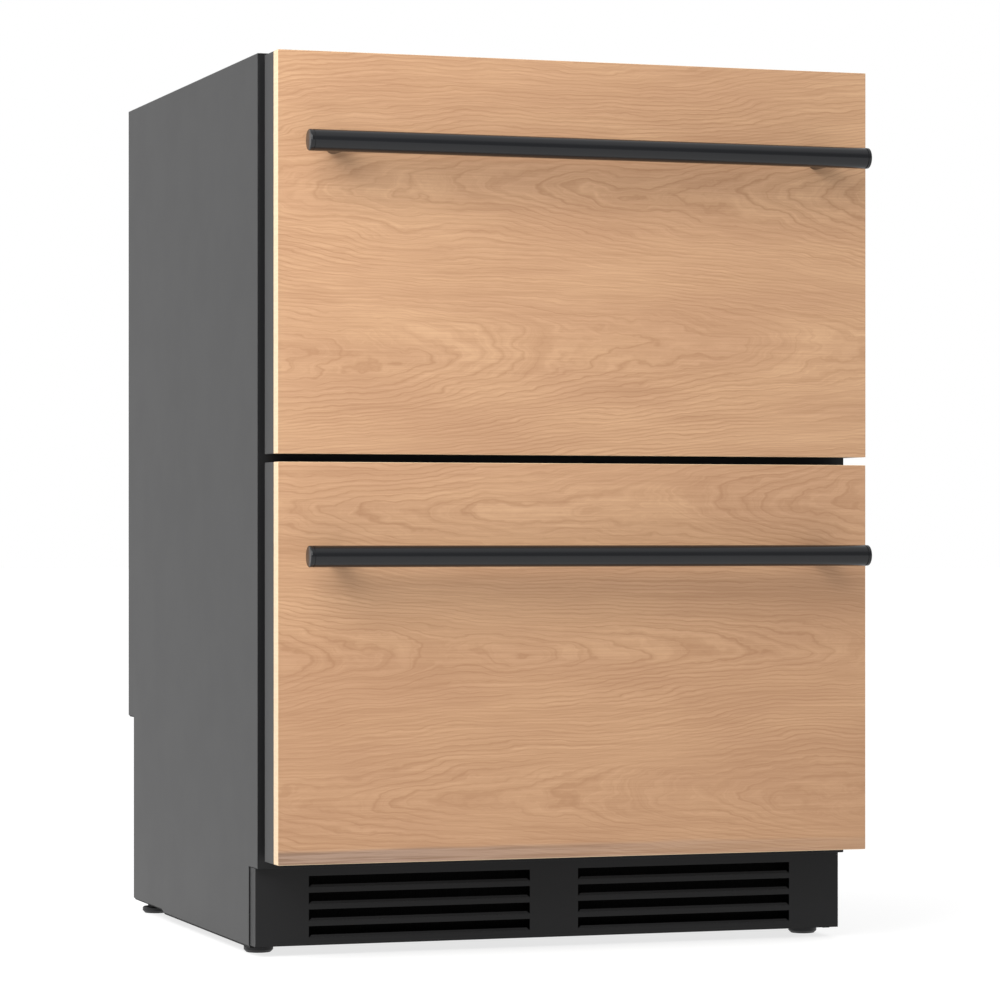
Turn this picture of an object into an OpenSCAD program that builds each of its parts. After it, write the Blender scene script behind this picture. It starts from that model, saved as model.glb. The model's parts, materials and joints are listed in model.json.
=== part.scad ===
// Under-counter refrigerator with two drawers behind wooden overlay fronts.
//
// Part frame: millimetres, +Z up, the drawers open towards -Y. The origin is on the floor, midway
// across the width and midway between the front of the handles and the rear panel.
//
// Modules are drawn in cabinet coordinates: x = 0 midway across, y = 0 at the front of the face
// frame and growing to the rear, z = 0 on the floor. placed() moves them into the part frame.

/* [Cabinet] */
// Width over the side panels
cabinet_w = 595; // [585:1:610]
// Height from the floor to the top, with the feet screwed in
cabinet_h = 846; // [840:1:866]
// Depth from the face frame to the rear panel
cabinet_d = 530; // [526:1:560]
// Thickness of the insulated walls
wall_t = 45; // [40:1:48]
// Height of the toe recess below the face frame
toe_h = 84; // [80:1:88]
// Depth of the toe recess in the side panels
toe_d = 31.6; // [28:0.1:34]
// Height of the step in the lower rear edge
rear_step_z = 204; // [200:1:206]
// Depth of the step in the lower rear edge
rear_step_d = 24; // [20:1:26]

/* [Drawer fronts] */
// Gap at each side between a front and the cabinet's side
front_side_inset = 3.15; // [2:0.05:5]
// Height of the lower front's bottom edge
front_bottom_z = 91.8; // [90:0.1:94]
// Gap between the two fronts
front_gap = 7.6; // [6:0.1:10]
// Step from the cabinet's top down to the upper front
front_top_reveal = 3.4; // [2:0.1:6]
// Thickness of the gasket between a closed door and the face frame
gasket_t = 14; // [12:0.5:15]
// Thickness of the insulated door
door_t = 31; // [28:0.5:34]
// Thickness of the wooden overlay panel
panel_t = 15.3; // [14:0.1:18]

/* [Handles] */
// Diameter of the handle bar
handle_d = 20; // [16:0.5:22]
// Length of the handle bar
handle_l = 555; // [520:1:560]
// Distance of the bar's axis in front of the panel
handle_standoff = 44; // [40:0.1:52]
// Distance of the bar's axis below the panel's top edge
handle_drop = 87; // [70:1:110]
// Diameter of the handle posts
post_d = 16; // [12:0.5:16]
// Distance from the cabinet's side to a post's axis
post_inset = 56; // [50:1:70]

/* [Toe kick] */
// Distance of the kick plate behind the face frame
kick_setback = 11.5; // [8:0.5:14]
// Length of one louvre slot
slot_l = 220; // [180:1:222]
// Space between the two groups of slots
slot_group_gap = 49; // [40:1:60]
// Height of one louvre slot
slot_h = 10.6; // [8:0.1:11]
// Distance between neighbouring slots
slot_pitch = 15.75; // [14:0.05:16]
// Number of slots in a group
slot_rows = 4; // [3:1:4]

/* [Feet] */
// Diameter of a foot pad
pad_d = 28; // [24:1:28]
// Downward adjustment of a foot
foot_travel = 25; // [10:1:25]

/* [Fans] */
// Tip diameter of the condenser fan
condenser_fan_d = 120; // [100:1:124]
// Tip diameter of the evaporator fan
evaporator_fan_d = 84; // [70:1:88]

/* [Hidden] */
$fn = 64;

lower = 0;
upper = 1;

// Sheet and shell thicknesses
sheet_t = 1.2;
liner_t = 2;
kick_t = 1.5;
bin_t = 2.5;
inner_panel_t = 2;

// Cabinet envelope
side_x = cabinet_w / 2;
inner_x = side_x - sheet_t;
top_z = cabinet_h - sheet_t;
rear_low_y = cabinet_d - rear_step_d;
front_y = -gasket_t - door_t - panel_t;
handle_y = front_y - handle_standoff;
handle_reach = handle_d / 2 - handle_y;
frame_y = (handle_reach - cabinet_d) / 2;

// Base: the side panels end just above the pan's rails at the front and climb a little at the rear
side_low_z = 9;
side_rear_low_z = 12;
rail_low_z = 7;
rail_w = 7;
pan_z = 10.5;
pan_top_z = pan_z + 1.5;
rail_end_y = 372;
rail_slope_l = 10;

// Drawer fronts
door_back_y = -gasket_t;
door_front_y = door_back_y - door_t;
front_h = (cabinet_h - front_top_reveal - front_bottom_z - front_gap) / 2;
front_x = side_x - front_side_inset;
screw_r = 2.5;
function front_z(k) = front_bottom_z + k * (front_h + front_gap);
function handle_z(k) = front_z(k) + front_h - handle_drop;

// Compartments
cavity_x = side_x - wall_t;
liner_x = cavity_x - liner_t;
mullion_h = 60;
mullion_z = front_bottom_z + front_h + front_gap / 2;
cavity_top_z = cabinet_h - wall_t;
cavity_floor_z = toe_h + 46;
cavity_back_y = cabinet_d - 43;
room_front_y = 300;
hump_y = room_front_y - 35;
hump_z = rear_step_z + 39;
upper_floor_z = mullion_z + mullion_h / 2;
lower_top_z = mullion_z - mullion_h / 2;

// Outlines in y and z, drawn t inside the cavity's skin and open_by past its open front
function lower_cavity(t, open_by) = [
    [-open_by, cavity_floor_z + t], [hump_y - t, cavity_floor_z + t], [hump_y - t, hump_z + t],
    [cavity_back_y - t, hump_z + t], [cavity_back_y - t, lower_top_z - t],
    [-open_by, lower_top_z - t]
];
function upper_cavity(t, open_by) = [
    [-open_by, upper_floor_z + t], [cavity_back_y - t, upper_floor_z + t],
    [cavity_back_y - t, cavity_top_z - t], [-open_by, cavity_top_z - t]
];

// Bins, drawn t inside their skin and open_by past their open top
bin_lift = 10;
bin_front_y = door_back_y;
bin_back_y = cavity_back_y - 59;
bin_step_y = hump_y - 12;
bin_x = liner_x - 12.5;
upper_bin_top_z = upper_floor_z + 223;
lower_bin_top_z = lower_top_z - 37;
function upper_bin_outline(t, open_by) = [
    [bin_front_y + t, upper_floor_z + bin_lift + t],
    [bin_back_y - t, upper_floor_z + bin_lift + t],
    [bin_back_y - t, upper_bin_top_z + open_by], [bin_front_y + t, upper_bin_top_z + open_by]
];
function lower_bin_outline(t, open_by) = [
    [bin_front_y + t, cavity_floor_z + bin_lift + t],
    [bin_step_y - t, cavity_floor_z + bin_lift + t],
    [bin_step_y - t, hump_z + bin_lift + t], [bin_back_y - t, hump_z + bin_lift + t],
    [bin_back_y - t, lower_bin_top_z + open_by], [bin_front_y + t, lower_bin_top_z + open_by]
];

// Slides: three nested channels per side
slide_h = 45;
slide_front_y = 8;
slide_back_y = bin_back_y;
function slide_z(k) = k == upper ? upper_floor_z + 103 : hump_z + 57;

// Gasket
gasket_inset = 4;
gasket_w = 16;
seat_gap = 0.3;

// Toe kick
slot_group_l = 2 * slot_l + slot_group_gap;
slot_top_z = 75;
lip_h = 2.6;
lip_taper = 3;
lip_angle = 10;

// Feet, given by their axes
foot_front = [side_x - 17.5, 62];
foot_rear = [side_x - 14.5, rear_low_y - 41];
stem_r = 5;
stem_l = foot_travel + 13;
pad_h = 6.5;
collar_h = 3.6;

// Rear cover of the machine room
cover_z = [pan_top_z + 1, rear_step_z - sheet_t - 1];
cord_at = [-250, 48];
cover_screws = [
    for (x = [-286, 0, 286]) for (z = [cover_z[0] + 8, cover_z[1] - 8]) [x, z]
];

// Machine room
room_mid_y = 405;
shroud_x = -60;
condenser_fan_z = 105;
condenser_motor_x = shroud_x + 18;
motor_shaft_r = 2.5;
compressor_at = [140, room_mid_y];
compressor_r = 72;
compressor_low_z = pan_top_z + 12.5;
compressor_h = 151;
grommet_r = 6;
suction_z = 120;
discharge_z = 60;

// Condenser: two columns of tubes along y
condenser_x = [-210, -170];
condenser_row_z = 36;
condenser_pitch = 34;
condenser_rows = 5;
condenser_y = [345, 462];
condenser_end_y = 325;
tube_r = 4;

// Evaporator: one column of tubes along x
evaporator_y = 462;
evaporator_row_z = upper_floor_z + 28;
evaporator_pitch = 30;
evaporator_rows = 6;
evaporator_half_l = 180;
evaporator_end_x = -200;
evaporator_fan_z = upper_floor_z + 243;
evaporator_motor_y = cavity_back_y - 25;
cover_front_y = cavity_back_y - 51;
evaporator_last_z = evaporator_row_z + (evaporator_rows - 1) * evaporator_pitch;

// Refrigerant lines, given by their corners
line_y = cavity_back_y + 9;
suction_x = -219;
capillary_x = -207;
capillary_r = 1.5;
duct_y = 312;
line_z = 188;
capillary_z = 198;
suction_line = [
    [evaporator_end_x, evaporator_y, evaporator_last_z],
    [suction_x, evaporator_y, evaporator_last_z], [suction_x, line_y, evaporator_last_z],
    [suction_x, line_y, line_z], [compressor_at[0], line_y, line_z],
    [compressor_at[0], line_y, suction_z],
    [compressor_at[0], compressor_at[1] + compressor_r + 7, suction_z]
];
discharge_line = [
    [compressor_at[0] - compressor_r - 7, compressor_at[1], discharge_z],
    [40, compressor_at[1], discharge_z], [40, duct_y, discharge_z],
    [condenser_x[0], duct_y, discharge_z], [condenser_x[0], duct_y, condenser_row_z],
    [condenser_x[0], condenser_end_y, condenser_row_z]
];
drier_at = [-105, 340];
drier_z = [56, 146];
liquid_line = [
    [condenser_x[1], condenser_end_y, condenser_row_z],
    [condenser_x[1], duct_y + 2, condenser_row_z], [drier_at[0], duct_y + 2, condenser_row_z],
    [drier_at[0], drier_at[1], condenser_row_z],
    [drier_at[0], drier_at[1], drier_z[0]]
];
capillary_line = [
    [drier_at[0], drier_at[1], drier_z[1]], [drier_at[0], drier_at[1], capillary_z],
    [capillary_x, drier_at[1], capillary_z], [capillary_x, line_y, capillary_z],
    [capillary_x, line_y, evaporator_row_z],
    [capillary_x, evaporator_y, evaporator_row_z], [evaporator_end_x, evaporator_y, evaporator_row_z]
];

// Colours
steel_grey = "#5c5c5e";
dark_grey = "#2c2d2f";
plastic_white = "#e4e6e8";
foam_cream = "#e8d9a8";
bright_steel = "#b9bcc0";
copper = "#b87333";
wood = "#dfb08a";
black = "#1b1c1e";
motor_grey = "#4a4c50";
fan_grey = "#d8dadd";
satin_steel = "#c9ccd0";

// ---------------------------------------------------------------- helpers

module placed() {
    translate([0, frame_y, 0]) children();
}

module block(lo, hi) {
    translate(lo) cube(hi - lo);
}

// Extrudes an outline in y and z across the width
module across(width) {
    rotate([90, 0, 90]) linear_extrude(width, center = true) children();
}

module both_sides() {
    children();
    mirror([1, 0, 0]) children();
}

function unit(v) = v / norm(v);

// Quarter bend at corner b, between the legs to a and to c
module elbow(a, b, c, r, bend_r) {
    u = unit(a - b);
    v = unit(c - b);
    w = cross(v, u);
    middle = b + bend_r * (u + v);
    multmatrix([
        [-v[0], -u[0], w[0], middle[0]],
        [-v[1], -u[1], w[1], middle[1]],
        [-v[2], -u[2], w[2], middle[2]],
        [0, 0, 0, 1]
    ])
        rotate_extrude(angle = 90, $fn = 48) translate([bend_r, 0]) circle(r, $fn = 24);
}

module straight(a, b, r) {
    d = b - a;
    translate(a)
        rotate([0, acos(d[2] / norm(d)), atan2(d[1], d[0])])
            cylinder(h = norm(d), r = r, $fn = 24);
}

// Round tube along square-cornered points, with bends of bend_r at the corners
module pipe(points, r, bend_r) {
    last = len(points) - 1;
    for (i = [0 : last - 1]) {
        along = unit(points[i + 1] - points[i]);
        start = i == 0 ? points[i] : points[i] + bend_r * along;
        stop = i == last - 1 ? points[i + 1] : points[i + 1] - bend_r * along;
        straight(start, stop, r);
    }
    for (i = [1 : last - 1]) {
        elbow(points[i - 1], points[i], points[i + 1], r, bend_r);
    }
}

// Bar of a given diameter along x with chamfered ends
module chamfered_bar(length, d, chamfer) {
    rotate([0, 90, 0])
        translate([0, 0, -length / 2])
            rotate_extrude()
                polygon([
                    [0, 0], [d / 2 - chamfer, 0], [d / 2, chamfer], [d / 2, length - chamfer],
                    [d / 2 - chamfer, length], [0, length]
                ]);
}

// Fan wheel on its shaft, turning about z
module fan_wheel(tip_r, hub_r, depth, blades, shaft_r, shaft_l) {
    cylinder(h = depth, r = hub_r);
    translate([0, 0, depth - 2]) cylinder(h = shaft_l + 2, r = shaft_r);
    intersection() {
        cylinder(h = depth, r = tip_r);
        union() {
            for (i = [0 : blades - 1]) {
                rotate([0, 0, i * 360 / blades])
                    translate([hub_r - 2, 0, depth / 2])
                        rotate([32, 0, 0])
                            translate([0, -tip_r * 0.36, -0.8])
                                cube([tip_r, tip_r * 0.72, 1.6]);
            }
        }
    }
}

// Slot for cold air from the evaporator down into the lower compartment
module air_passage() {
    block([-60, cavity_back_y - 28, lower_top_z - 5], [60, cavity_back_y - 12, upper_floor_z + 8]);
}

// The refrigerant lines that climb through the insulated wall, made wider by gap
module line_channels(gap) {
    pipe(suction_line, tube_r + gap, 9);
    pipe(capillary_line, capillary_r + gap, 3);
}

// ---------------------------------------------------------------- cabinet

module side_outline() {
    polygon([
        [0, cabinet_h], [0, toe_h], [toe_d, toe_h], [toe_d, side_low_z], [rail_end_y, side_low_z],
        [rail_end_y + rail_slope_l, side_rear_low_z], [rear_low_y, side_rear_low_z],
        [rear_low_y, rear_step_z], [cabinet_d, rear_step_z], [cabinet_d, cabinet_h]
    ]);
}

module side_panel_right() {
    color(steel_grey)
        placed()
            translate([side_x - sheet_t / 2, 0, 0])
                across(sheet_t) side_outline();
}

module side_panel_left() {
    mirror([1, 0, 0]) side_panel_right();
}

module top_panel() {
    color(steel_grey)
        placed()
            block([-inner_x, 0, top_z], [inner_x, cabinet_d, cabinet_h]);
}

module rear_panel() {
    color(bright_steel)
        placed()
            block([-inner_x, cabinet_d - sheet_t, rear_step_z], [inner_x, cabinet_d, top_z]);
}

// Folded sheet below the insulation: over the air ducts, up and over the machine room
module bottom_skin() {
    color(bright_steel)
        placed()
            difference() {
                across(2 * inner_x)
                    polygon([
                        [sheet_t, toe_h], [room_front_y + sheet_t, toe_h],
                        [room_front_y + sheet_t, rear_step_z - sheet_t],
                        [cabinet_d, rear_step_z - sheet_t], [cabinet_d, rear_step_z],
                        [room_front_y, rear_step_z], [room_front_y, toe_h + sheet_t],
                        [sheet_t, toe_h + sheet_t]
                    ]);
                line_channels(1);
            }
}

// Front flanges and rails that the gaskets close against
module face_frame() {
    color(dark_grey)
        placed() {
            both_sides() block([cavity_x, 0, toe_h], [inner_x, sheet_t, top_z]);
            block([-cavity_x, 0, cavity_top_z], [cavity_x, sheet_t, top_z]);
            block([-cavity_x, 0, lower_top_z], [cavity_x, sheet_t, upper_floor_z]);
            block([-cavity_x, 0, toe_h], [cavity_x, sheet_t, cavity_floor_z]);
        }
}

module upper_liner() {
    color(plastic_white)
        placed()
            difference() {
                across(2 * cavity_x) polygon(upper_cavity(0, 0));
                across(2 * liner_x) polygon(upper_cavity(liner_t, 1));
                line_channels(0.6);
                air_passage();
            }
}

module lower_liner() {
    color(plastic_white)
        placed()
            difference() {
                across(2 * cavity_x) polygon(lower_cavity(0, 0));
                across(2 * liner_x) polygon(lower_cavity(liner_t, 1));
                air_passage();
            }
}

module foam_insulation() {
    color(foam_cream)
        placed()
            difference() {
                across(2 * inner_x)
                    polygon([
                        [sheet_t, toe_h + sheet_t], [room_front_y, toe_h + sheet_t],
                        [room_front_y, rear_step_z], [cabinet_d - sheet_t, rear_step_z],
                        [cabinet_d - sheet_t, top_z], [sheet_t, top_z]
                    ]);
                across(2 * cavity_x) polygon(upper_cavity(0, 1));
                across(2 * cavity_x) polygon(lower_cavity(0, 1));
                line_channels(0.4);
                air_passage();
            }
}

// Floor of the machine room and of the air ducts, on two side rails
module base_pan() {
    color(black)
        placed()
            difference() {
                union() {
                    block([-inner_x, toe_d + 0.4, pan_z], [inner_x, rear_low_y - 1.5, pan_top_z]);
                    both_sides()
                        translate([inner_x - rail_w / 2, 0, 0])
                            across(rail_w)
                                polygon([
                                    [toe_d + 0.4, rail_low_z], [rail_end_y, rail_low_z],
                                    [rail_end_y + rail_slope_l, pan_z], [toe_d + 0.4, pan_z]
                                ]);
                }
                both_sides() {
                    for (at = [foot_front, foot_rear]) {
                        translate([at[0], at[1], 0]) cylinder(h = 40, r = stem_r + 0.5);
                    }
                }
            }
}

// Flanged bushes pressed on the pan, in which the feet turn
module foot_inserts() {
    color(bright_steel)
        placed()
            both_sides()
                for (at = [foot_front, foot_rear]) {
                    translate([at[0], at[1], pan_top_z])
                        difference() {
                            union() {
                                cylinder(h = 2, r = 11);
                                cylinder(h = 24, r = 8.5);
                            }
                            translate([0, 0, -1]) cylinder(h = 26, r = stem_r + 0.05);
                        }
                }
}

// Bent lip below a slot, tapering at its ends
module louvre_lip() {
    reach = lip_h / cos(lip_angle);
    rotate([90 - lip_angle, 0, 0])
        linear_extrude(sheet_t)
            polygon([[0, 0], [slot_l, 0], [slot_l - lip_taper, reach], [lip_taper, reach]]);
}

module kick_plate() {
    kick_x = side_x - 1;
    low_z = 9.7;
    high_z = toe_h - 0.6;
    tab_x = [225, 255];
    tab_t = 0.8;
    color(dark_grey)
        placed() {
            difference() {
                union() {
                    block([-kick_x, kick_setback, low_z], [kick_x, kick_setback + kick_t, high_z]);
                    both_sides()
                        block([kick_x - kick_t, kick_setback, low_z], [kick_x, toe_d - 0.6, high_z]);
                }
                for (group = [0, 1]) {
                    for (row = [0 : slot_rows - 1]) {
                        translate([
                            group * (slot_l + slot_group_gap) - slot_group_l / 2,
                            kick_setback - 1,
                            slot_top_z - row * slot_pitch - slot_h
                        ])
                            cube([slot_l, kick_t + 2, slot_h]);
                    }
                }
            }
            for (group = [0, 1]) {
                for (row = [0 : slot_rows - 1]) {
                    translate([
                        group * (slot_l + slot_group_gap) - slot_group_l / 2,
                        kick_setback + kick_t - 0.1,
                        slot_top_z - row * slot_pitch - slot_h - 0.4
                    ])
                        louvre_lip();
                }
            }
            both_sides()
                block(
                    [tab_x[0], kick_setback + 0.5, low_z],
                    [tab_x[1], toe_d + 8, low_z + tab_t]
                );
        }
}

// Upright divider between the intake and the exhaust side of the duct
module air_baffle() {
    color(bright_steel)
        placed()
            block([-0.6, toe_d + 2, pan_top_z], [0.6, room_front_y + 4, toe_h]);
}

// Rear cover of the machine room with two groups of vents
module machine_cover() {
    vent_l = 170;
    vent_h = 6;
    vent_pitch = 14;
    vent_rows = 9;
    vent_low_z = 50;
    cord_hole_r = 9;
    screw_hole_r = 2.2;
    color(bright_steel)
        placed()
            difference() {
                block(
                    [1 - inner_x, rear_low_y - sheet_t, cover_z[0]],
                    [inner_x - 1, rear_low_y, cover_z[1]]
                );
                for (x = [-205, 35]) {
                    for (row = [0 : vent_rows - 1]) {
                        translate([x, rear_low_y - 5, vent_low_z + row * vent_pitch])
                            cube([vent_l, 10, vent_h]);
                    }
                }
                translate([cord_at[0], rear_low_y - 5, cord_at[1]])
                    rotate([-90, 0, 0]) cylinder(h = 10, r = cord_hole_r);
                for (at = cover_screws) {
                    translate([at[0], rear_low_y - 5, at[1]])
                        rotate([-90, 0, 0]) cylinder(h = 10, r = screw_hole_r);
                }
            }
}

module machine_cover_screws() {
    color(bright_steel)
        placed()
            for (at = cover_screws) {
                translate([at[0], rear_low_y, at[1]])
                    rotate([90, 0, 0]) {
                        cylinder(h = 9, r = 2);
                        translate([0, 0, -2.4]) cylinder(h = 2.4, r1 = 3, r2 = 4.2);
                    }
            }
}

// Rubber bush in the rear cover through which the supply cord enters
module cord_inlet() {
    color(black)
        placed()
            translate([cord_at[0], rear_low_y, cord_at[1]])
                rotate([-90, 0, 0])
                    difference() {
                        union() {
                            translate([0, 0, -5]) cylinder(h = 5 - sheet_t, r = 12);
                            translate([0, 0, -5]) cylinder(h = 8, r = 8.8);
                            cylinder(h = 2, r = 13);
                            translate([0, 0, 2]) cylinder(h = 6, r1 = 11, r2 = 8);
                        }
                        translate([0, 0, -6]) cylinder(h = 16, r = 4);
                    }
}

// ---------------------------------------------------------------- feet

// Levelling foot with its axis at (x, y)
module foot(at) {
    translate([at[0], at[1], 0]) {
        rotate_extrude()
            polygon([
                [0, 0], [pad_d / 2 - 2.5, 0], [pad_d / 2, 2.5], [pad_d / 2, pad_h - 1],
                [pad_d / 2 - 1, pad_h], [0, pad_h]
            ]);
        translate([0, 0, pad_h]) cylinder(h = collar_h, r = 8.6, $fn = 6);
        translate([0, 0, pad_h + collar_h]) cylinder(h = stem_l, r = stem_r);
    }
}

module foot_front_left() {
    color(black) placed() foot([-foot_front[0], foot_front[1]]);
}

module foot_front_right() {
    color(black) placed() foot(foot_front);
}

module foot_rear_left() {
    color(black) placed() foot([-foot_rear[0], foot_rear[1]]);
}

module foot_rear_right() {
    color(black) placed() foot(foot_rear);
}

// ---------------------------------------------------------------- machine room

// Tubes along y through thin fins, standing on two end plates
module condenser_coil() {
    fins = 14;
    fin_x = [condenser_x[0] - 18, condenser_x[1] + 18];
    high_z = condenser_row_z + (condenser_rows - 1) * condenser_pitch;
    fin_step = (condenser_y[1] - condenser_y[0]) / (fins - 1);
    bend_z = condenser_pitch / 2;
    column_gap = condenser_x[1] - condenser_x[0];
    color(black)
        placed() {
            for (i = [0 : fins - 1]) {
                end_plate = i == 0 || i == fins - 1;
                low_z = end_plate ? pan_top_z : condenser_row_z - 14;
                block(
                    [fin_x[0], condenser_y[0] + i * fin_step - 0.5, low_z],
                    [fin_x[1], condenser_y[0] + i * fin_step + 0.5, high_z + 14]
                );
            }
            for (x = condenser_x) {
                for (row = [0 : condenser_rows - 1]) {
                    first = row == 0 ? condenser_end_y : condenser_y[0] - 3;
                    translate([x, first, condenser_row_z + row * condenser_pitch])
                        rotate([-90, 0, 0])
                            cylinder(h = condenser_y[1] + 3 - first, r = tube_r, $fn = 24);
                }
                for (row = [0 : condenser_rows - 2]) {
                    rear = row % 2 == 0;
                    translate([
                        x,
                        rear ? condenser_y[1] + 3 : condenser_y[0] - 3,
                        condenser_row_z + row * condenser_pitch + bend_z
                    ])
                        rotate([0, 0, rear ? 0 : 180])
                            rotate([0, -90, 0])
                                rotate_extrude(angle = 180, $fn = 48)
                                    translate([bend_z, 0]) circle(tube_r, $fn = 24);
                }
            }
            translate([condenser_x[0] + column_gap / 2, condenser_y[1] + 3, high_z])
                rotate_extrude(angle = 180, $fn = 48)
                    translate([column_gap / 2, 0]) circle(tube_r, $fn = 24);
        }
}

module condenser_fan_shroud() {
    color(bright_steel)
        placed()
            difference() {
                block([shroud_x, 330, pan_top_z], [shroud_x + 3, 486, rear_step_z - 6]);
                translate([shroud_x - 5, room_mid_y, condenser_fan_z])
                    rotate([0, 90, 0]) cylinder(h = 20, r = condenser_fan_d / 2 + 3);
            }
}

// Motor held behind the shroud by a strap bent over at both ends
module condenser_fan_motor() {
    motor_l = 36;
    strap_t = 3;
    strap_z = 75;
    strap_w = 14;
    shroud_face_x = shroud_x + 3 - condenser_motor_x;
    color(motor_grey)
        placed()
            translate([condenser_motor_x, room_mid_y, condenser_fan_z]) {
                difference() {
                    rotate([0, 90, 0]) cylinder(h = motor_l, r = 26);
                    translate([-1, 0, 0])
                        rotate([0, 90, 0]) cylinder(h = 25, r = motor_shaft_r + 0.05);
                }
                block([motor_l, -strap_w / 2, -strap_z], [motor_l + strap_t, strap_w / 2, strap_z]);
                for (low_z = [-strap_z, strap_z - strap_t]) {
                    block([shroud_face_x, -strap_w / 2, low_z], [motor_l, strap_w / 2, low_z + strap_t]);
                }
            }
}

module condenser_fan_blade() {
    color(fan_grey)
        placed()
            translate([shroud_x - 10, room_mid_y, condenser_fan_z])
                rotate([0, 90, 0])
                    fan_wheel(condenser_fan_d / 2, 18, 24, 5, motor_shaft_r, 26);
}

// Hermetic compressor on its welded foot plate, with stubs for the lines and a terminal cover
module compressor() {
    rounding = 26;
    arc = [for (a = [0 : 15 : 90]) a];
    color(black)
        placed()
            difference() {
                translate([compressor_at[0], compressor_at[1], compressor_low_z]) {
                    rotate_extrude()
                        polygon(concat(
                            [[0, 0], [compressor_r - 18, 0], [compressor_r, 16]],
                            [
                                for (a = arc)
                                    [
                                        compressor_r - rounding * (1 - cos(a)),
                                        compressor_h - rounding * (1 - sin(a))
                                    ]
                            ],
                            [[0, compressor_h]]
                        ));
                    rotate_extrude()
                        polygon([
                            [0, 92], [compressor_r + 1.5, 92], [compressor_r + 1.5, 97], [0, 97]
                        ]);
                    block([-85, -62, -2.5], [85, 62, 0]);
                    block([compressor_r - 6, -26, 34], [compressor_r + 9, 26, 82]);
                    straight(
                        [8 - compressor_r, 0, discharge_z - compressor_low_z],
                        [-compressor_r - 7, 0, discharge_z - compressor_low_z], tube_r
                    );
                    straight(
                        [0, compressor_r - 8, suction_z - compressor_low_z],
                        [0, compressor_r + 7, suction_z - compressor_low_z], tube_r
                    );
                }
                grommet_spots() cylinder(h = 40, r = grommet_r);
            }
}

module grommet_spots() {
    for (x = [-74, 74]) {
        for (y = [-50, 50]) {
            translate([compressor_at[0] + x, compressor_at[1] + y, pan_top_z]) children();
        }
    }
}

module compressor_grommets() {
    color(black)
        placed()
            grommet_spots() {
                cylinder(h = 10, r = 10.5);
                cylinder(h = 15, r = grommet_r - 0.3);
                translate([0, 0, 12.5]) cylinder(h = 3.5, r1 = 9, r2 = 7);
            }
}

// Tray on the compressor in which the defrost water evaporates
module drip_pan() {
    low_z = compressor_low_z + compressor_h;
    color(black)
        placed()
            difference() {
                block([52, 330, low_z], [228, 480, low_z + 20]);
                block([54, 332, low_z + 2], [226, 478, low_z + 21]);
            }
}

module refrigerant_tubes() {
    color(copper)
        placed() {
            line_channels(0);
            pipe(discharge_line, tube_r, 9);
            pipe(liquid_line, tube_r, 9);
        }
}

module filter_drier() {
    length = drier_z[1] - drier_z[0];
    color(copper)
        placed()
            translate([drier_at[0], drier_at[1], drier_z[0]])
                rotate_extrude()
                    polygon([
                        [0, 0], [tube_r, 0], [tube_r, 6], [9, 14], [9, length - 14],
                        [3, length - 4], [3, length], [0, length]
                    ]);
}

module control_box() {
    color(plastic_white)
        placed() {
            block([236, 330, 40], [inner_x - 0.2, 445, 150]);
            block([233.5, 328, 148], [inner_x - 0.2, 447, 152]);
        }
}

// ---------------------------------------------------------------- cold side

module evaporator_coil() {
    fins = 15;
    low_z = evaporator_row_z - 13;
    high_z = evaporator_last_z + 13;
    fin_step = 2 * evaporator_half_l / (fins - 1);
    bend_r = evaporator_pitch / 2;
    color(bright_steel)
        placed() {
            for (i = [0 : fins - 1]) {
                x = i * fin_step - evaporator_half_l;
                block([x - 0.5, evaporator_y - 15, low_z], [x + 0.5, evaporator_y + 15, high_z]);
            }
            for (row = [0 : evaporator_rows - 1]) {
                free_end = row == 0 || row == evaporator_rows - 1;
                first = free_end ? evaporator_end_x : -evaporator_half_l - 2;
                translate([first, evaporator_y, evaporator_row_z + row * evaporator_pitch])
                    rotate([0, 90, 0])
                        cylinder(h = evaporator_half_l + 2 - first, r = tube_r, $fn = 24);
            }
            for (row = [0 : evaporator_rows - 2]) {
                right = row % 2 == 0;
                translate([
                    right ? evaporator_half_l + 2 : -evaporator_half_l - 2,
                    evaporator_y,
                    evaporator_row_z + row * evaporator_pitch + bend_r
                ])
                    rotate([90, right ? 90 : -90, 0])
                        rotate_extrude(angle = 180, $fn = 48)
                            translate([bend_r, 0]) circle(tube_r, $fn = 24);
            }
        }
}

// Panel that hides the evaporator, with a fan grille at the top and return slots at the bottom
module evaporator_cover() {
    grille_r = evaporator_fan_d / 2 + 4;
    color(plastic_white)
        placed() {
            difference() {
                block(
                    [1 - liner_x, cover_front_y, upper_floor_z + 3],
                    [liner_x - 1, cavity_back_y - liner_t - 0.2, cavity_top_z - 3]
                );
                block(
                    [3 - liner_x, cover_front_y + 2, upper_floor_z + 5],
                    [liner_x - 3, cavity_back_y, cavity_top_z - 5]
                );
                translate([0, cover_front_y - 1, evaporator_fan_z])
                    rotate([-90, 0, 0]) cylinder(h = 4, r = grille_r);
                for (i = [-4 : 4]) {
                    for (row = [0, 1]) {
                        translate([i * 44 - 15, cover_front_y - 1, upper_floor_z + 18 + row * 14])
                            cube([30, 4, 6]);
                    }
                }
                air_passage();
            }
            translate([0, cover_front_y, evaporator_fan_z])
                rotate([-90, 0, 0]) {
                    for (r = [14, 28, 42]) {
                        difference() {
                            cylinder(h = 2, r = r);
                            translate([0, 0, -1]) cylinder(h = 4, r = r - 3);
                        }
                    }
                    for (a = [45, 135]) {
                        rotate([0, 0, a])
                            translate([-grille_r - 1, -1.5, 0]) cube([2 * grille_r + 2, 3, 2]);
                    }
                    cylinder(h = 2, r = 6);
                }
        }
}

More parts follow.
